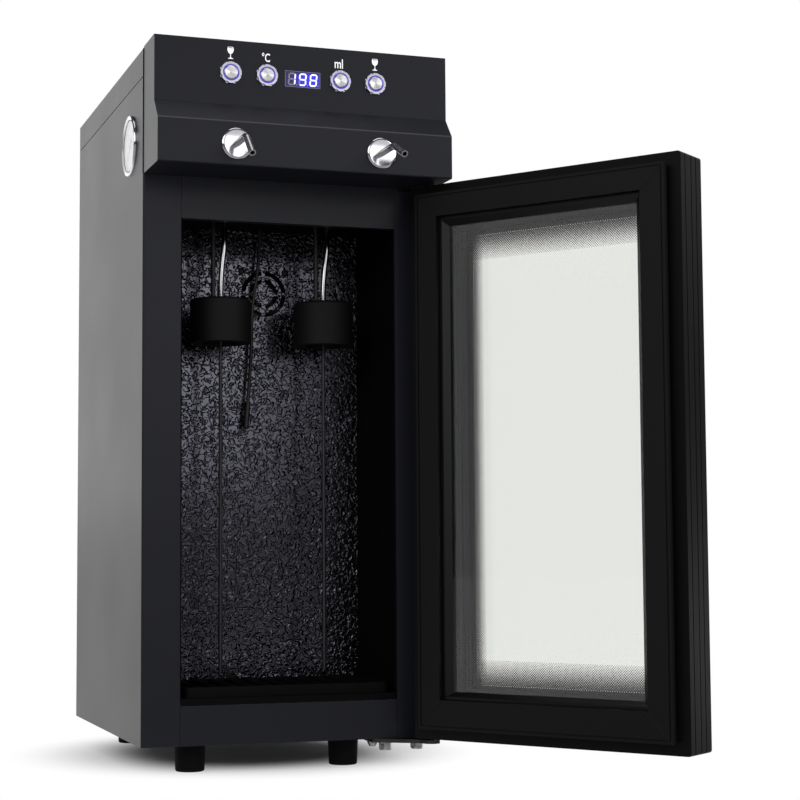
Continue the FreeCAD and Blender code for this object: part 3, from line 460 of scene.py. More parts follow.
def lettering(words, height, **settings):
    """Letters as a mesh about their own origin, one ink layer thick."""
    deselect()
    bpy.ops.object.text_add()
    piece = bpy.context.object
    piece.data.body = words
    piece.data.align_x = "CENTER"
    piece.data.size = height
    piece.data.extrude = INK / 2
    for name, value in settings.items():
        setattr(piece.data, name, value)
    bpy.ops.object.convert(target="MESH")
    return piece


def unit_label(words, height, width, x, z):
    """A unit on the fascia's upper face, its letters narrowed to that share of their width."""
    piece = lettering(words, height, offset=BOLDER, resolution_u=4)
    piece.data.transform(Matrix.Translation((x, UPPER_FACE, z)) @ UPRIGHT
                         @ Matrix.Diagonal((width, 1, 1, 1)))
    return piece


def glass_sign(x):
    """A goblet 12 mm tall: a bowl's outline, filled below its rim, with a stem and a foot."""
    parts = []
    # Radius and upper cut of the outlined bowl, then of the filled part in it
    for radius, level in ((0.0026, 0.0021), (0.0023, 0.0009)):
        deselect()
        bpy.ops.mesh.primitive_circle_add(vertices=32, radius=radius, fill_type="NGON")
        bowl = bpy.context.object
        bpy.ops.object.mode_set(mode="EDIT")
        bpy.ops.transform.resize(value=(1.0, 1.42, 1.0))
        bpy.ops.mesh.bisect(plane_co=(0, level, 0), plane_no=(0, 1, 0), clear_outer=True, use_fill=False)
        if not parts:
            bpy.ops.mesh.select_all(action="SELECT")
            bpy.ops.mesh.inset(thickness=WALL)
            bpy.ops.mesh.delete(type="ONLY_FACE")
        bpy.ops.object.mode_set(mode="OBJECT")
        parts.append(bowl)
    # Width, height and middle of the stem, the foot and the collar on the foot
    for width, height, y in ((0.0006, 0.0038, -0.0054), (0.0042, 0.0006, -0.0075), (0.0020, 0.0005, -0.0070)):
        parts.append(plate(width, height, y))
    sign = thicken(joined("glass_sign", parts), INK / 2)
    sign.matrix_world = Matrix.Translation((x, UPPER_FACE, SIGN_Z)) @ UPRIGHT
    settle()
    return sign


labels = joined("button_labels", [
    glass_sign(BUTTON_XS[0]), glass_sign(BUTTON_XS[3]),
    unit_label("°C", height=0.0098, width=0.68, x=-0.0322, z=0.5787),
    unit_label("ml", height=0.0112, width=0.72, x=0.0304, z=0.5782)])
coat(labels, print_white)
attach(labels, "cabinet")


# Display: a three-digit seven-segment module, snapped into the fascia behind a smoked window. The
# lit bars are near white, and light spilled inside the module tints the window round them blue.
DISPLAY_X, DISPLAY_Z = -0.0008, 0.5662
DISPLAY_Y = UPPER_FACE + 0.0003
DIGIT_W, DIGIT_H, DIGIT_PITCH = 0.0052, 0.0092, 0.0092
BAR, BAR_H, BAR_SHARE, SLANT = 0.0012, 0.0001, 0.93, 0.09
POINT_R, POINT_OFF = 0.0006, 0.0041
DIGITS = {-DIGIT_PITCH: "bc", 0.0: "abcdfg", DIGIT_PITCH: "abcdefg"}
GLOW_OFF, GLOW_FLATTEN, GLOW_CORE, GLOW_END = 0.0055, 1.9, 0.004, 0.0165

# Smoked acrylic: nearly black, lit blue from within round the digits
window = finish("smoked_display_window", "#16151C", Roughness=0.22, Emission_Color=linear("#2420F0"))
coords = add(window, "TexCoord")
centred = add(window, "Mapping",
              {"Location": (-(DISPLAY_X + GLOW_OFF), 0.0, -DISPLAY_Z * GLOW_FLATTEN),
               "Scale": (1.0, 0.0, GLOW_FLATTEN)}, {"Vector": coords.outputs["Object"]})
far = add(window, "VectorMath", link={0: centred.outputs["Vector"]}, operation="LENGTH")
spill = add(window, "MapRange", {"From Min": GLOW_CORE, "From Max": GLOW_END, "To Min": 1.0, "To Max": 0.08},
            {"Value": far.outputs["Value"]}, interpolation_type="SMOOTHSTEP")
feed(window, "Emission Strength", spill.outputs["Result"])
dress(window, "display_module")

# Diffusing film over the bars: white with a violet cast where lit, greyish violet where not
lit = finish("lit_display_bar", "#D8D6FF", Roughness=0.4, Emission_Color=linear("#E6E4FF"))
uneven(lit, "Emission Strength", 0.8, 1.3, 500.0)
unlit = finish("unlit_display_bar", "#6E6C86", Roughness=0.5)
mottled(unlit, "#7A7894", "#A4A2B8", 700.0)


def bar_piece(length):
    """One bar of a digit with pointed ends."""
    bar = plate(length, BAR)
    bpy.ops.object.mode_set(mode="EDIT")
    bpy.ops.mesh.select_all(action="SELECT")
    bpy.ops.mesh.bevel(offset=BAR * 0.48, segments=1, affect="VERTICES")
    bpy.ops.object.mode_set(mode="OBJECT")
    return thicken(bar, BAR_H)


half_w, half_h = DIGIT_W / 2, DIGIT_H / 2
BARS = {
    "a": (0.0, half_h, False), "b": (half_w, half_h / 2, True), "c": (half_w, -half_h / 2, True),
    "d": (0.0, -half_h, False), "e": (-half_w, -half_h / 2, True), "f": (-half_w, half_h / 2, True),
    "g": (0.0, 0.0, False),
}
slanted = Matrix(((1, SLANT, 0, 0), (0, 1, 0, 0), (0, 0, 1, 0), (0, 0, 0, 1)))
groups = {True: [], False: []}
for digit_x, shown in DIGITS.items():
    place = Matrix.Translation((DISPLAY_X + digit_x, DISPLAY_Y, DISPLAY_Z))
    for letter, (across, up, upright) in BARS.items():
        bar = bar_piece((half_h if upright else DIGIT_W) * BAR_SHARE)
        turn = Matrix.Rotation(math.pi / 2 if upright else 0.0, 4, "Z")
        bar.data.transform(place @ UPRIGHT @ slanted @ Matrix.Translation((across, up, 0)) @ turn)
        groups[letter in shown].append(bar)
    deselect()
    bpy.ops.mesh.primitive_circle_add(vertices=12, radius=POINT_R, fill_type="NGON")
    point = thicken(bpy.context.object, BAR_H)
    point.data.transform(
        Matrix.Translation((DISPLAY_X + digit_x + POINT_OFF, DISPLAY_Y, DISPLAY_Z - half_h)) @ UPRIGHT)
    groups[False].append(point)
for name, on, mat in (("display_bars_lit", True, lit), ("display_bars_unlit", False, unlit)):
    bars = joined(name, groups[on])
    coat(bars, mat)
    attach(bars, "cabinet")

# The module's moulded rim, a lighter line round the window. Grey ABS with an even satin skin, its pale
# grey-violet partly a painted highlight where the housing edge is lit
RIM_W, RIM_H, RIM_DEPTH, RIM_BAR = 0.0304, 0.0136, 0.0004, 0.0006
CUT_DEPTH = 0.002
rim = slab("display_rim", (RIM_W, RIM_DEPTH, RIM_H), (DISPLAY_X, DISPLAY_Y - 0.0001, DISPLAY_Z))
carve(rim, slab("display_opening", (RIM_W - 2 * RIM_BAR, CUT_DEPTH, RIM_H - 2 * RIM_BAR),
                (DISPLAY_X, DISPLAY_Y, DISPLAY_Z)))
lit_rim_paint = finish("grey_abs_with_painted_highlight", "#6E6A84", Roughness=0.45)
uneven(lit_rim_paint, "Roughness", 0.38, 0.55, 400.0)
coat(rim, lit_rim_paint)
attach(rim, "cabinet")


# Control board: glass-fibre laminate, etched and coated with green solder resist, screwed behind
# the fascia. Its tracks show through the resist as paler lines, 3 and 6 mm apart.
laminate = finish("green_solder_resist", "#1D5A34", Roughness=0.35)
coords = add(laminate, "TexCoord")
tracks = add(laminate, "TexBrick",
             {"Scale": 90.0, "Mortar Size": 0.08, "Color1": linear("#1B5430"), "Color2": linear("#206238"),
              "Mortar": linear("#2F7A4A")}, {"Vector": coords.outputs["Object"]})
feed(laminate, "Base Color", tracks.outputs["Color"])
dress(laminate, "control_board")


# Taps: brass discs, turned with a bevelled rim and a slightly domed face, and chromed. Each sits
# on its threaded barrel, which a nut clamps behind the fascia.
TAP_XS, TAP_Z, LOWER_FACE = (-0.0603, 0.0627), 0.5060, -0.2072
TAP_R, TAP_BORE, TAP_BARREL, BARREL_END = 0.0128, 0.00285, 0.0060, -0.016
DOME_R, DOME_TOP, DOME_EDGE, DOME_STEP = 0.13, 0.0027, 0.0116, 0.0011
TAP_FLANK, TAP_BEVEL_TOP, TAP_BEVEL, STEP_BACK = 0.0011, 0.0016, 0.0003, 0.0001

# Polished chrome: a sharp, cool mirror, blurred here and there by wiping
chrome = finish("polished_chrome", "#EAE8F0", Metallic=1.0, Roughness=0.09)
uneven(chrome, "Roughness", 0.06, 0.16, 300.0, 3.0)

barrel = [(BARREL_END, TAP_BORE), (BARREL_END, TAP_BARREL), (-STEP_BACK, TAP_BARREL),
          (-STEP_BACK, TAP_BARREL + STEP_BACK)]
edge = [(0.0, TAP_R), (TAP_FLANK, TAP_R), (TAP_BEVEL_TOP, TAP_R - TAP_BEVEL)]
steps = [DOME_EDGE - DOME_STEP * i for i in range(8)] + [TAP_BORE]
face = [(DOME_TOP - r * r / (2 * DOME_R), r) for r in steps]
taps = []
for x in TAP_XS:
    disc = turned("tap_disc", barrel + edge + face + barrel[:1], 96)
    taps.append(soften(face_to(disc, (0, -1, 0), (x, LOWER_FACE, TAP_Z)), 32))
tap_pair = joined("tap_pair", taps)
coat(tap_pair, chrome)
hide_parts("tap_bodies")
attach(tap_pair, "cabinet")


# Spouts: drawn stainless tubes, bent on a former, that swivel in the taps. Fine scratches, drawn
# 1 mm wide so that they show, turn their mirror into a satin.
satin_steel = finish("satin_stainless_tube", "#CACAC8", Metallic=1.0, Roughness=0.26)
scratch = uneven(satin_steel, "Roughness", 0.18, 0.34, 900.0, 3.0)
relief = add(satin_steel, "Bump", {"Strength": 0.1, "Distance": 0.0001}, {"Height": scratch.outputs["Fac"]})
feed(satin_steel, "Normal", relief.outputs["Normal"])
dress(satin_steel, "spout_left", "spout_right")


# Pickup tubes below the stoppers: long drawn steel tubes, pressed into the stoppers from below.
# Use has dulled and stained them, so that they give no bright glints.
dull_steel = finish("dulled_steel_tube", "#4C4C50", Metallic=1.0, Roughness=0.5)
uneven(dull_steel, "Roughness", 0.42, 0.6, 90.0, 3.0)
dress(dull_steel, "pickup_left", "pickup_right")


# Gas pressure gauge in the left side: a black moulded case, a pale dial with plain marks, a
# painted needle, and flat glass on a rubber ring under a chromed rim that is pressed on.
GAUGE_Y, GAUGE_Z, SIDE_X = -0.0992, 0.5224, -0.125
DIAL_FACE = SIDE_X + 0.0004
GAUGE_RIM_OUT, GAUGE_RIM_IN, GAUGE_LIP_IN = 0.0257, 0.0238, 0.0224
GAUGE_RIM_H, GAUGE_LIP_H = 0.0024, 0.0011
SEAL_IN, SEAL_OUT, SEAL_LOW, SEAL_HIGH = 0.0218, 0.0225, 0.0009, 0.00145
GLASS_LOW, GLASS_HIGH = 0.00095, 0.0013
MARKS, MARK_STEP, FIRST_MARK, MARKS_OUT = 28, 10, 135, 0.0205
NUMERAL_SIZE, NUMERALS_AT = 0.0052, 0.0135

# Satin white enamel, given a lavender grey and clouded in patches of 17 mm
dial_white = finish("satin_white_enamel_dial", "#D8D9DC", Roughness=0.4)
mottled(dial_white, "#B4B2BC", "#CCCAD4", 60.0, 4.0)
dress(dial_white, "gauge_dial")

# Moulded black ABS: a satin black with the spark texture of its mould, 1 mm fine. The fans and
# the mains inlet are moulded of it too
case_abs = finish("moulded_black_abs", "#17171A", Roughness=0.4)
coords = add(case_abs, "TexCoord")
spark = add(case_abs, "TexNoise", {"Scale": 1100.0, "Detail": 2.0}, {"Vector": coords.outputs["Object"]})
relief = add(case_abs, "Bump", {"Strength": 0.2, "Distance": 0.0002}, {"Height": spark.outputs["Fac"]})
feed(case_abs, "Normal", relief.outputs["Normal"])
dress(case_abs, "gauge_case", "inner_fan_frame", "rear_fan_frame", "inner_impeller", "rear_impeller",
      "mains_inlet")

# Float glass: clear, with a faint green body, flat to within a slow ripple of 80 mm
float_glass = finish("clear_float_glass", "#F3F4F2", Roughness=0.0, IOR=1.5, Transmission_Weight=1.0)
uneven(float_glass, "Roughness", 0.0, 0.004, 12.0, 1.0)


def on_side(name, profile):
    """A turned piece that faces left on the gauge's axis."""
    piece = turned(name, profile, 96)
    return soften(face_to(piece, (-1, 0, 0), (SIDE_X, GAUGE_Y, GAUGE_Z)), 32)


rim = on_side("gauge_rim", [
    (0.0, GAUGE_RIM_IN), (0.0, GAUGE_RIM_OUT), (GAUGE_RIM_H / 2, GAUGE_RIM_OUT),
    (0.0020, GAUGE_RIM_OUT - 0.0003), (GAUGE_RIM_H, GAUGE_RIM_OUT - 0.0007), (0.0022, GAUGE_RIM_OUT - 0.0011),
    (0.0014, GAUGE_LIP_IN), (GAUGE_LIP_H, GAUGE_LIP_IN), (GAUGE_LIP_H, GAUGE_RIM_IN), (0.0, GAUGE_RIM_IN)])
coat(rim, chrome)
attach(rim, "cabinet")
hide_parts("gauge_bezel")
seal = on_side("gauge_seal", [
    (SEAL_LOW, SEAL_IN), (SEAL_LOW, SEAL_OUT), (SEAL_HIGH, SEAL_OUT), (SEAL_HIGH, SEAL_IN + 0.0001),
    (SEAL_LOW, SEAL_IN)])
coat(seal, tray_rubber)
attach(seal, "cabinet")
pane = on_side("gauge_pane", [
    (GLASS_LOW, 0.0001), (GLASS_LOW, SEAL_IN), (GLASS_HIGH, SEAL_IN), (GLASS_HIGH, 0.0001)])
coat(pane, float_glass)
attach(pane, "cabinet")
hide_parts("gauge_glass")

# Needle paint and dial ink: sprayed and pad-printed, both flat and nearly black
needle_paint = finish("black_needle_paint", "#1E1E20", Roughness=0.5)
uneven(needle_paint, "Roughness", 0.4, 0.6, 800.0)
dress(needle_paint, "gauge_needle")
dial_ink = finish("printed_dial_ink", "#3A3B40", Roughness=0.5)
mottled(dial_ink, "#303136", "#4A4B50", 900.0)

marks = []
for step in range(MARKS):
    length, width = (0.0036, 0.0007) if step % 9 == 0 else (0.0020, 0.00035)
    mark = thicken(plate(width, length), INK)
    turn = Matrix.Rotation(math.radians(FIRST_MARK - MARK_STEP * step), 4, "Z")
    mark.data.transform(turn @ Matrix.Translation((0, MARKS_OUT - length / 2, 0)))
    marks.append(mark)
for number in range(4):
    text = lettering(str(number), NUMERAL_SIZE, align_y="CENTER")
    angle = math.radians(FIRST_MARK - 90 * number)
    text.data.transform(
        Matrix.Translation((-math.sin(angle) * NUMERALS_AT, math.cos(angle) * NUMERALS_AT, INK / 2)))
    marks.append(text)
dial_marks = joined("gauge_dial_marks", marks)
faces_left = Matrix(((0, 0, -1, 0), (-1, 0, 0, 0), (0, 1, 0, 0), (0, 0, 0, 1)))
dial_marks.data.transform(Matrix.Translation((DIAL_FACE, GAUGE_Y, GAUGE_Z)) @ faces_left)
coat(dial_marks, dial_ink)
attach(dial_marks, "cabinet")


# Door panes and frame: two panes of the same float glass, in a frame of aluminium extrusions that
# are cut on the mitre, keyed at the corners and anodised black.
dress(float_glass, "glass_outer", "glass_inner")

HINGE = Vector((0.1155, -0.172, 0.0))
OPEN = math.radians(126.0)
OPENED = Matrix.Translation(HINGE) @ Matrix.Rotation(OPEN, 4, "Z") @ Matrix.Translation(-HINGE)


def closed_coordinates(mat):
    """Object coordinates turned back to where the door is shut, so that bars run along X and Z."""
    place = add(mat, "TexCoord")
    turn = OPENED.inverted()
    return add(mat, "Mapping", {"Location": turn.to_translation(), "Rotation": turn.to_euler()},
               {"Vector": place.outputs["Object"]})


# Black anodising: a deep satin black, with drawing lines 1 mm wide along the bars
anodised = finish("black_anodised_aluminium", "#0B0B0D", Roughness=0.34, Specular_IOR_Level=0.13)
shut = closed_coordinates(anodised)
drawn = add(anodised, "Mapping", {"Scale": (1.0, 1.0, 0.012)}, {"Vector": shut.outputs["Vector"]})
lines = add(anodised, "TexNoise", {"Scale": 900.0, "Detail": 2.0}, {"Vector": drawn.outputs["Vector"]})
gloss = add(anodised, "MapRange", {"To Min": 0.28, "To Max": 0.44}, {"Value": lines.outputs["Fac"]})
relief = add(anodised, "Bump", {"Strength": 0.12, "Distance": 0.0002}, {"Height": lines.outputs["Fac"]})
feed(anodised, "Roughness", gloss.outputs["Result"])
feed(anodised, "Normal", relief.outputs["Normal"])
dress(anodised, "door_frame")


# Door gasket and the bevelled ring inside it: soft and rigid PVC, extruded, mitred and welded at
# the corners, where a fine line shows. The gasket is pushed into a groove of the frame.
def mitred(mat, half_w, low, high, base_gloss):
    """Grained PVC with a fine sunk seam where the bars meet at 45 degrees."""
    shut = closed_coordinates(mat)
    xyz = add(mat, "SeparateXYZ", link={"Vector": shut.outputs["Vector"]})
    side = add(mat, "Math", link={0: xyz.outputs["X"]}, operation="ABSOLUTE")
    from_side = add(mat, "Math", {0: half_w}, {1: side.outputs["Value"]}, operation="SUBTRACT")
    off = add(mat, "Math", {1: (low + high) / 2}, {0: xyz.outputs["Z"]}, operation="SUBTRACT")
    rise = add(mat, "Math", link={0: off.outputs["Value"]}, operation="ABSOLUTE")
    from_end = add(mat, "Math", {0: (high - low) / 2}, {1: rise.outputs["Value"]}, operation="SUBTRACT")
    gap = add(mat, "Math", link={0: from_side.outputs["Value"], 1: from_end.outputs["Value"]},
              operation="SUBTRACT")
    near = add(mat, "Math", link={0: gap.outputs["Value"]}, operation="ABSOLUTE")
    seam = add(mat, "MapRange", {"From Min": 0.0002, "From Max": 0.0006}, {"Value": near.outputs["Value"]})
    grain = add(mat, "TexNoise", {"Scale": 600.0, "Detail": 2.0}, {"Vector": shut.outputs["Vector"]})
    height = add(mat, "Math", {1: 0.15}, {0: grain.outputs["Fac"], 2: seam.outputs["Result"]},
                 operation="MULTIPLY_ADD")
    relief = add(mat, "Bump", {"Strength": 0.5, "Distance": 0.0004}, {"Height": height.outputs["Value"]})
    gloss = add(mat, "MapRange", {"To Min": base_gloss - 0.05, "To Max": base_gloss + 0.08},
                {"Value": grain.outputs["Fac"]})
    feed(mat, "Normal", relief.outputs["Normal"])
    feed(mat, "Roughness", gloss.outputs["Result"])


# Soft PVC is matt and slightly grey, rigid PVC is deeper and takes a low shine on its bevel
soft_pvc = finish("soft_pvc_gasket", "#0E0E10", Specular_IOR_Level=0.2)
mitred(soft_pvc, half_w=0.115, low=0.0335, high=0.4775, base_gloss=0.5)
dress(soft_pvc, "door_gasket")
rigid_pvc = finish("rigid_black_pvc", "#0A0A0C", Specular_IOR_Level=0.3)
mitred(rigid_pvc, half_w=0.0937, low=0.0579, high=0.4573, base_gloss=0.36)
dress(rigid_pvc, "door_inner_frame")


# Spacer between the panes: a roll-formed bar, coated dark grey and glued to both panes all round.
# The rollers leave streaks 2 mm wide along it.
spacer_bar = finish("grey_coated_spacer_bar", "#26262C", Roughness=0.5, Specular_IOR_Level=0.1)
shut = closed_coordinates(spacer_bar)
along = add(spacer_bar, "Mapping", {"Scale": (1.0, 1.0, 0.01)}, {"Vector": shut.outputs["Vector"]})
drawn = add(spacer_bar, "TexNoise", {"Scale": 420.0, "Detail": 2.0}, {"Vector": along.outputs["Vector"]})
tone = add(spacer_bar, "ValToRGB", link={"Fac": drawn.outputs["Fac"]})
for stop, position, colour in zip(tone.color_ramp.elements, (0.35, 0.65), ("#0E0E12", "#34343E")):
    stop.position = position
    stop.color = linear(colour)
feed(spacer_bar, "Base Color", tone.outputs["Color"])
dress(spacer_bar, "glass_spacer")


# Printed border: ceramic ink fired on the inner face of the outer pane. It is solid to the edge
# of the frame and breaks up into shrinking dots towards the clear glass.
PRINT_Y, PRINT_H = -0.1938, 0.00012
PRINT_HALF_W, PRINT_LOW, PRINT_HIGH = 0.0824, 0.0676, 0.4450
PANE_HALF_W, PANE_LOW, PANE_HIGH = 0.1210, 0.0280, 0.4826
DOT_PITCH, DOT_SHARE, SMALLEST_DOT = 0.0021, 0.72, 0.00045
ROW_STEP = DOT_PITCH * 0.5
FADE_END, FADE_SIDE = 0.0240, 0.0105

# Fired ink: a flat, cold black, bonded to the glass, with a dry gloss in flecks of 2 mm
ceramic = finish("fired_ceramic_ink", "#121214", Roughness=0.45)
uneven(ceramic, "Roughness", 0.38, 0.52, 500.0)


def dot_row(radius, count, pitch, along, start):
    """One dot of the row, repeated by an array along the row."""
    deselect()
    bpy.ops.mesh.primitive_circle_add(vertices=8, radius=radius, fill_type="NGON",
                                      rotation=(math.pi / 2, 0, 0), location=start)
    dot = bpy.context.object
    settle()
    row = dot.modifiers.new("row", "ARRAY")
    row.count = count
    row.use_relative_offset = False
    row.use_constant_offset = True
    row.constant_offset_displace = [pitch * c for c in along]
    bpy.ops.object.modifier_apply(modifier="row")
    return dot


rows = []
for lying, fade, span in ((True, FADE_END, 2 * PRINT_HALF_W), (False, FADE_SIDE, PRINT_HIGH - PRINT_LOW)):
    count = round(span / DOT_PITCH)
    pitch = span / count
    for number in range(int(fade / ROW_STEP)):
        depth = (number + 0.5) * ROW_STEP
        radius = DOT_PITCH * 0.62 * math.sqrt(max(0.0, 1.0 - depth / fade))
        if radius < SMALLEST_DOT:
            continue
        stagger = number % 2
        shift = pitch / 2 * stagger
        if lying:
            starts = [(-PRINT_HALF_W + shift, PRINT_Y, z)
                      for z in (PRINT_LOW + depth, PRINT_HIGH - depth)]
        else:
            starts = [(x, PRINT_Y, PRINT_LOW + shift)
                      for x in (-PRINT_HALF_W + depth, PRINT_HALF_W - depth)]
        rows += [dot_row(radius * DOT_SHARE, count + 1 - stagger, pitch, (lying, 0, not lying), start)
                 for start in starts]

band = slab("print_band", (2 * PANE_HALF_W, PRINT_H, PANE_HIGH - PANE_LOW),
            (0, PRINT_Y, (PANE_HIGH + PANE_LOW) / 2))
carve(band, slab("print_clear", (2 * PRINT_HALF_W, CUT_DEPTH, PRINT_HIGH - PRINT_LOW),
                 (0, PRINT_Y, (PRINT_HIGH + PRINT_LOW) / 2)))
border = joined("glass_print", [band] + rows)
border.data.transform(OPENED)
coat(border, ceramic)
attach(border, "door")


# Stoppers: caps moulded of black rubber, each with a plug below and two bores for its lines. They
# are matt, with a faint mould texture of 2 mm, and are only pushed on.
stopper_rubber = finish("matt_stopper_rubber", "#0A0A0B", Roughness=0.66, Specular_IOR_Level=0.25)
coords = add(stopper_rubber, "TexCoord")
skin = add(stopper_rubber, "TexNoise", {"Scale": 450.0, "Detail": 3.0}, {"Vector": coords.outputs["Object"]})
relief = add(stopper_rubber, "Bump", {"Strength": 0.25, "Distance": 0.0003}, {"Height": skin.outputs["Fac"]})
feed(stopper_rubber, "Normal", relief.outputs["Normal"])
dress(stopper_rubber, "stopper_left", "stopper_right")


# Lines above each stopper: a bent outlet tube of bright steel, and a black gas hose beside it.
# Both are held by the ceiling and the stopper.
STOPPER_XS = {"left": -0.046, "right": 0.046}
BOWS = {"left": 0.0016, "right": 0.0018}
STOPPER_Y, STOPPER_TOP, LINE_TOP = -0.098, 0.3945, 0.475
TUBE_R, HOSE_R, HOSE_OFF = 0.0024, 0.0020, 0.0065

# Silicone hose is black and slightly waxy; the drawn tube mirrors the room in narrow streaks
hose_rubber = finish("black_silicone_hose", "#151517", Roughness=0.48)
uneven(hose_rubber, "Roughness", 0.4, 0.58, 500.0)
bright_tube = finish("bright_drawn_steel_tube", "#B4B4B4", Metallic=1.0, Roughness=0.1)
uneven(bright_tube, "Roughness", 0.06, 0.14, 350.0)

for side, x in STOPPER_XS.items():
    bow = BOWS[side]
    outlet = curve_along("outlet_tube_" + side, [
        (x, STOPPER_Y, STOPPER_TOP), (x, STOPPER_Y, STOPPER_TOP + 0.020),
        (x + 2.6 * bow, STOPPER_Y + 0.001, STOPPER_TOP + 0.052),
        (x + 2.2 * bow, STOPPER_Y + 0.001, LINE_TOP)], TUBE_R)
    hose = curve_along("gas_hose_" + side, [
        (x - HOSE_OFF, STOPPER_Y, STOPPER_TOP), (x - HOSE_OFF, STOPPER_Y, STOPPER_TOP + 0.038),
        (x - 0.0069, STOPPER_Y, LINE_TOP)], HOSE_R)
    for piece, mat in ((outlet, bright_tube), (hose, hose_rubber)):
        pick(piece)
        bpy.ops.object.convert(target="MESH")
        piece = bpy.context.object
        coat(piece, mat)
        soften(piece)
        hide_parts("lines_" + side)
        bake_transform(piece)


# Cooling: extruded aluminium heat sinks with a block and wafer clamped between them. The gas
# manifold is cut from such bar too, and all show fine drawing lines along their length.
sink_aluminium = finish("extruded_aluminium", "#C9CACC", Metallic=1.0, Roughness=0.36)
coords = add(sink_aluminium, "TexCoord")
drawn = add(sink_aluminium, "Mapping", {"Scale": (1.0, 1.0, 0.02)}, {"Vector": coords.outputs["Object"]})
lines = add(sink_aluminium, "TexNoise", {"Scale": 700.0, "Detail": 2.0}, {"Vector": drawn.outputs["Vector"]})
gloss = add(sink_aluminium, "MapRange", {"To Min": 0.28, "To Max": 0.46}, {"Value": lines.outputs["Fac"]})
feed(sink_aluminium, "Roughness", gloss.outputs["Result"])
dress(sink_aluminium, "cold_sink", "hot_sink", "cooler_module", "gas_manifold")


# Gas inlet: a push-in fitting of brass, turned and nickel-plated, screwed through the rear panel.
# The plating shines softly and warmly, tarnished in spots of 5 mm.
nickel = finish("nickel_plated_brass", "#C8C4BA", Metallic=1.0, Roughness=0.22)
uneven(nickel, "Roughness", 0.15, 0.34, 220.0, 3.0)
dress(nickel, "gas_inlet")


# Pinch valves: coils potted in dark blue nylon, moulded with glass fibre, screwed up behind the
# fascia. The fibres leave the skin dry and uneven.
nylon = finish("glass_filled_nylon", "#22324A", Roughness=0.5)
uneven(nylon, "Roughness", 0.42, 0.62, 500.0, 4.0)
dress(nylon, "pinch_valves")


# Power supply: a folded box of galvanised sheet, screwed to the base. Its zinc shows crystals of
# spangle 7 mm wide, in two close greys.
spangle_steel = finish("galvanised_sheet", "#A9ACAF", Metallic=1.0, Roughness=0.4)
coords = add(spangle_steel, "TexCoord")
spangle = add(spangle_steel, "TexVoronoi", {"Scale": 140.0}, {"Vector": coords.outputs["Object"]})
tone = add(spangle_steel, "ValToRGB", link={"Fac": spangle.outputs["Distance"]})
tone.color_ramp.elements[0].color = linear("#9A9DA0")
tone.color_ramp.elements[1].color = linear("#BDC0C2")
feed(spangle_steel, "Base Color", tone.outputs["Color"])
dress(spangle_steel, "power_supply")


# Studio floor: matt white paper. It keeps the object's shadow and turns to plain white further
# out. Towards the camera it is dimmer, which only reflections see.
FLOOR_R, SHADOW_R, WHITE_R = 9.0, 0.08, 0.215
deselect()
bpy.ops.mesh.primitive_circle_add(vertices=64, radius=FLOOR_R, fill_type="NGON")
floor = bpy.context.object
floor.name = "studio_floor"
paper = finish("white_paper_sweep", "#EDEDED", Roughness=0.9)
coords = add(paper, "TexCoord")
far = add(paper, "VectorMath", link={0: coords.outputs["Object"]}, operation="LENGTH")
fade = add(paper, "MapRange", {"From Min": SHADOW_R, "From Max": WHITE_R}, {"Value": far.outputs["Value"]},
           interpolation_type="SMOOTHSTEP")
xyz = add(paper, "SeparateXYZ", link={"Vector": coords.outputs["Object"]})
rear = add(paper, "MapRange", {"From Min": -0.4, "From Max": 0.1, "To Min": 0.3, "To Max": 1.0},
           {"Value": xyz.outputs["Y"]}, interpolation_type="SMOOTHSTEP")
rays = add(paper, "LightPath")
seen = add(paper, "Math", link={0: rays.outputs["Is Camera Ray"], 1: rays.outputs["Is Transmission Ray"]},
           operation="MAXIMUM")
every = add(paper, "Math", link={0: seen.outputs["Value"], 1: rays.outputs["Is Glossy Ray"]},
            operation="MAXIMUM")
share = add(paper, "Math", link={0: every.outputs["Value"], 1: fade.outputs["Result"]}, operation="MULTIPLY")
level = add(paper, "Math", link={0: seen.outputs["Value"], 1: rear.outputs["Result"]}, operation="MAXIMUM")
white = add(paper, "Emission", {"Color": (1, 1, 1, 1)}, {"Strength": level.outputs["Value"]})
blend = add(paper, "MixShader", link={0: share.outputs["Value"], 2: white.outputs["Emission"]})
paper.node_tree.links.new(paper.node_tree.nodes["Principled BSDF"].outputs["BSDF"], blend.inputs[1])
paper.node_tree.links.new(blend.outputs["Shader"], paper.node_tree.nodes["Material Output"].inputs["Surface"])
coat(floor, paper)


# Studio room: white to the camera and through glass. In reflections it is bright behind the
# object, has a pale shelf above the horizon and a dark ceiling, and it fills shadows at half level.
world = bpy.data.worlds.new("studio")
bpy.context.scene.world = world
world.use_nodes = True
rays = add(world, "LightPath")
coords = add(world, "TexCoord")
xyz = add(world, "SeparateXYZ", link={"Vector": coords.outputs["Generated"]})
behind = add(world, "MapRange", {"From Min": 0.3, "From Max": 0.9}, {"Value": xyz.outputs["Y"]},
             interpolation_type="SMOOTHSTEP")
shelf = add(world, "MapRange", {"From Min": 0.13, "From Max": 0.22, "To Min": 0.06, "To Max": 0.62},
            {"Value": xyz.outputs["Z"]}, interpolation_type="SMOOTHSTEP")
walls = add(world, "Math", link={0: behind.outputs["Result"], 1: shelf.outputs["Result"]},
            operation="MAXIMUM")
above = add(world, "MapRange", {"From Min": 0.32, "From Max": 0.7, "To Min": 1.0, "To Max": 0.1},
            {"Value": xyz.outputs["Z"]}, interpolation_type="SMOOTHSTEP")
room = add(world, "Math", link={0: walls.outputs["Value"], 1: above.outputs["Result"]},
           operation="MULTIPLY")
direct = add(world, "Math", link={0: rays.outputs["Is Camera Ray"], 1: rays.outputs["Is Transmission Ray"]},
             operation="MAXIMUM")
glossy = add(world, "Math", link={0: rays.outputs["Is Glossy Ray"], 1: room.outputs["Value"]},
             operation="MULTIPLY")
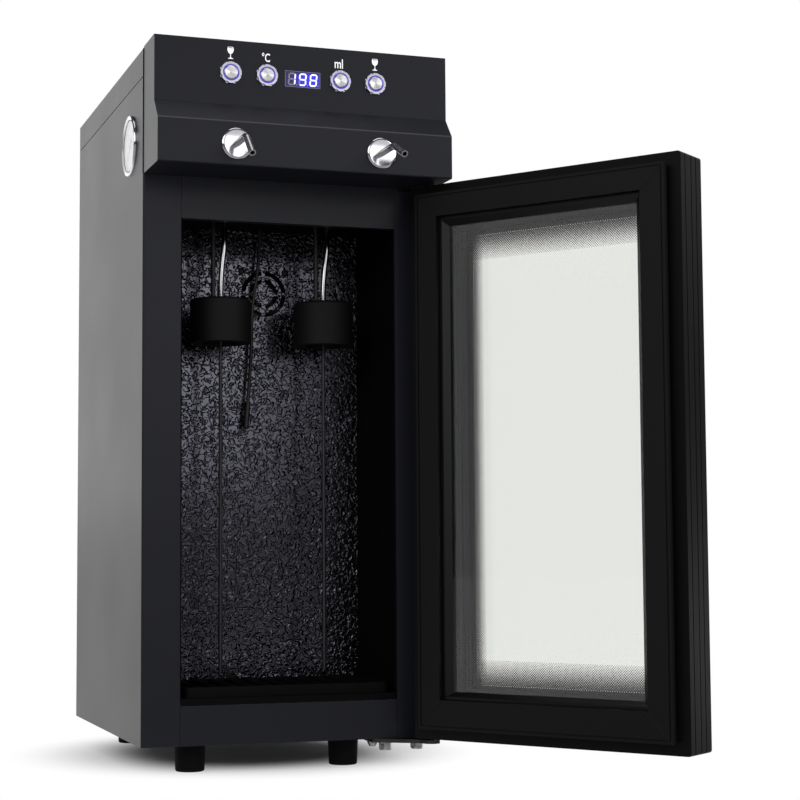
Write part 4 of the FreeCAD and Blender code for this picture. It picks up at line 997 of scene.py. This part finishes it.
ambient = add(world, "Math", {0: 0.5}, {1: rays.outputs["Is Diffuse Ray"]}, operation="MULTIPLY")
parts = add(world, "Math", link={0: glossy.outputs["Value"], 1: ambient.outputs["Value"]}, operation="ADD")
level = add(world, "Math", link={0: parts.outputs["Value"], 1: direct.outputs["Value"]}, operation="MAXIMUM")
back = world.node_tree.nodes["Background"]
back.inputs["Color"].default_value = (1, 1, 1, 1)
world.node_tree.links.new(level.outputs["Value"], back.inputs["Strength"])


# Studio lamps: large soft boxes on each side and above, kept out of the reflections, and three
# smaller ones that stand where the fascia, the steel and the left side mirror them.
def lamp(name, watts, size, place, aim, gloss=1.0):
    """A rectangular area lamp at a place, turned to the point it aims at."""
    data = bpy.data.lights.new(name, "AREA")
    data.energy = watts
    data.shape = "RECTANGLE"
    data.size, data.size_y = size
    data.specular_factor = gloss
    piece = bpy.data.objects.new(name, data)
    bpy.context.collection.objects.link(piece)
    turn = (Vector(place) - Vector(aim)).to_track_quat("Z", "Y").to_matrix().to_4x4()
    piece.matrix_world = Matrix.Translation(place) @ turn
    return piece


# Watts, size, place, aim, and the share of the lamp that shows in reflections
lamp("softbox_left", 14.0, (1.4, 1.4), (-1.6, -1.9, 1.5), (0, 0, 0.3), 0.1)
lamp("softbox_right", 10.0, (1.2, 1.2), (1.7, -1.7, 1.3), (0, 0, 0.3), 0.05)
lamp("softbox_top", 5.0, (1.2, 1.2), (0.1, -0.3, 2.4), (0, 0, 0.4), 0.05)
lamp("strip_in_front", 1.2, (0.50, 0.50), (0.24, -1.7, 0.55), (0.24, 0, 0.55))
lamp("softbox_in_front", 1.05, (0.95, 0.30), (0.50, -1.7, 0.84), (0.50, 0, 0.84))
side_lamp = lamp("softbox_behind_left", 2.5, (1.0, 1.5), (-0.32, 1.9, 0.95), (-0.125, 0, 0.4))
side_lamp.visible_camera = False
side_lamp.visible_transmission = False


# Camera: where the photograph was taken from, a little left of the object and below its middle.
# Place, turn, lens and shift were solved from the corners of the cabinet.
CAMERA_PLACE = (-0.42704, -1.60542, 0.18359)
YAW, PITCH, ROLL = math.radians(18.40), math.radians(4.35), math.radians(-0.27)
view = bpy.data.cameras.new("photograph_view")
view.sensor_width = 36.0
view.lens = 82.02
view.shift_x = 0.057
view.shift_y = 0.0092
view.clip_start = 0.05
view.dof.use_dof = False
camera = bpy.data.objects.new("photograph_view", view)
bpy.context.collection.objects.link(camera)
ahead = Vector((math.sin(YAW) * math.cos(PITCH), math.cos(YAW) * math.cos(PITCH), math.sin(PITCH)))
across = Vector((math.cos(YAW), -math.sin(YAW), 0.0))
upward = across.cross(ahead)
right = across * math.cos(ROLL) + upward * math.sin(ROLL)
top = -across * math.sin(ROLL) + upward * math.cos(ROLL)
camera.matrix_world = Matrix.Translation(CAMERA_PLACE) @ Matrix((right, top, -ahead)).transposed().to_4x4()
bpy.context.scene.camera = camera
bpy.context.scene.view_settings.view_transform = "Standard"
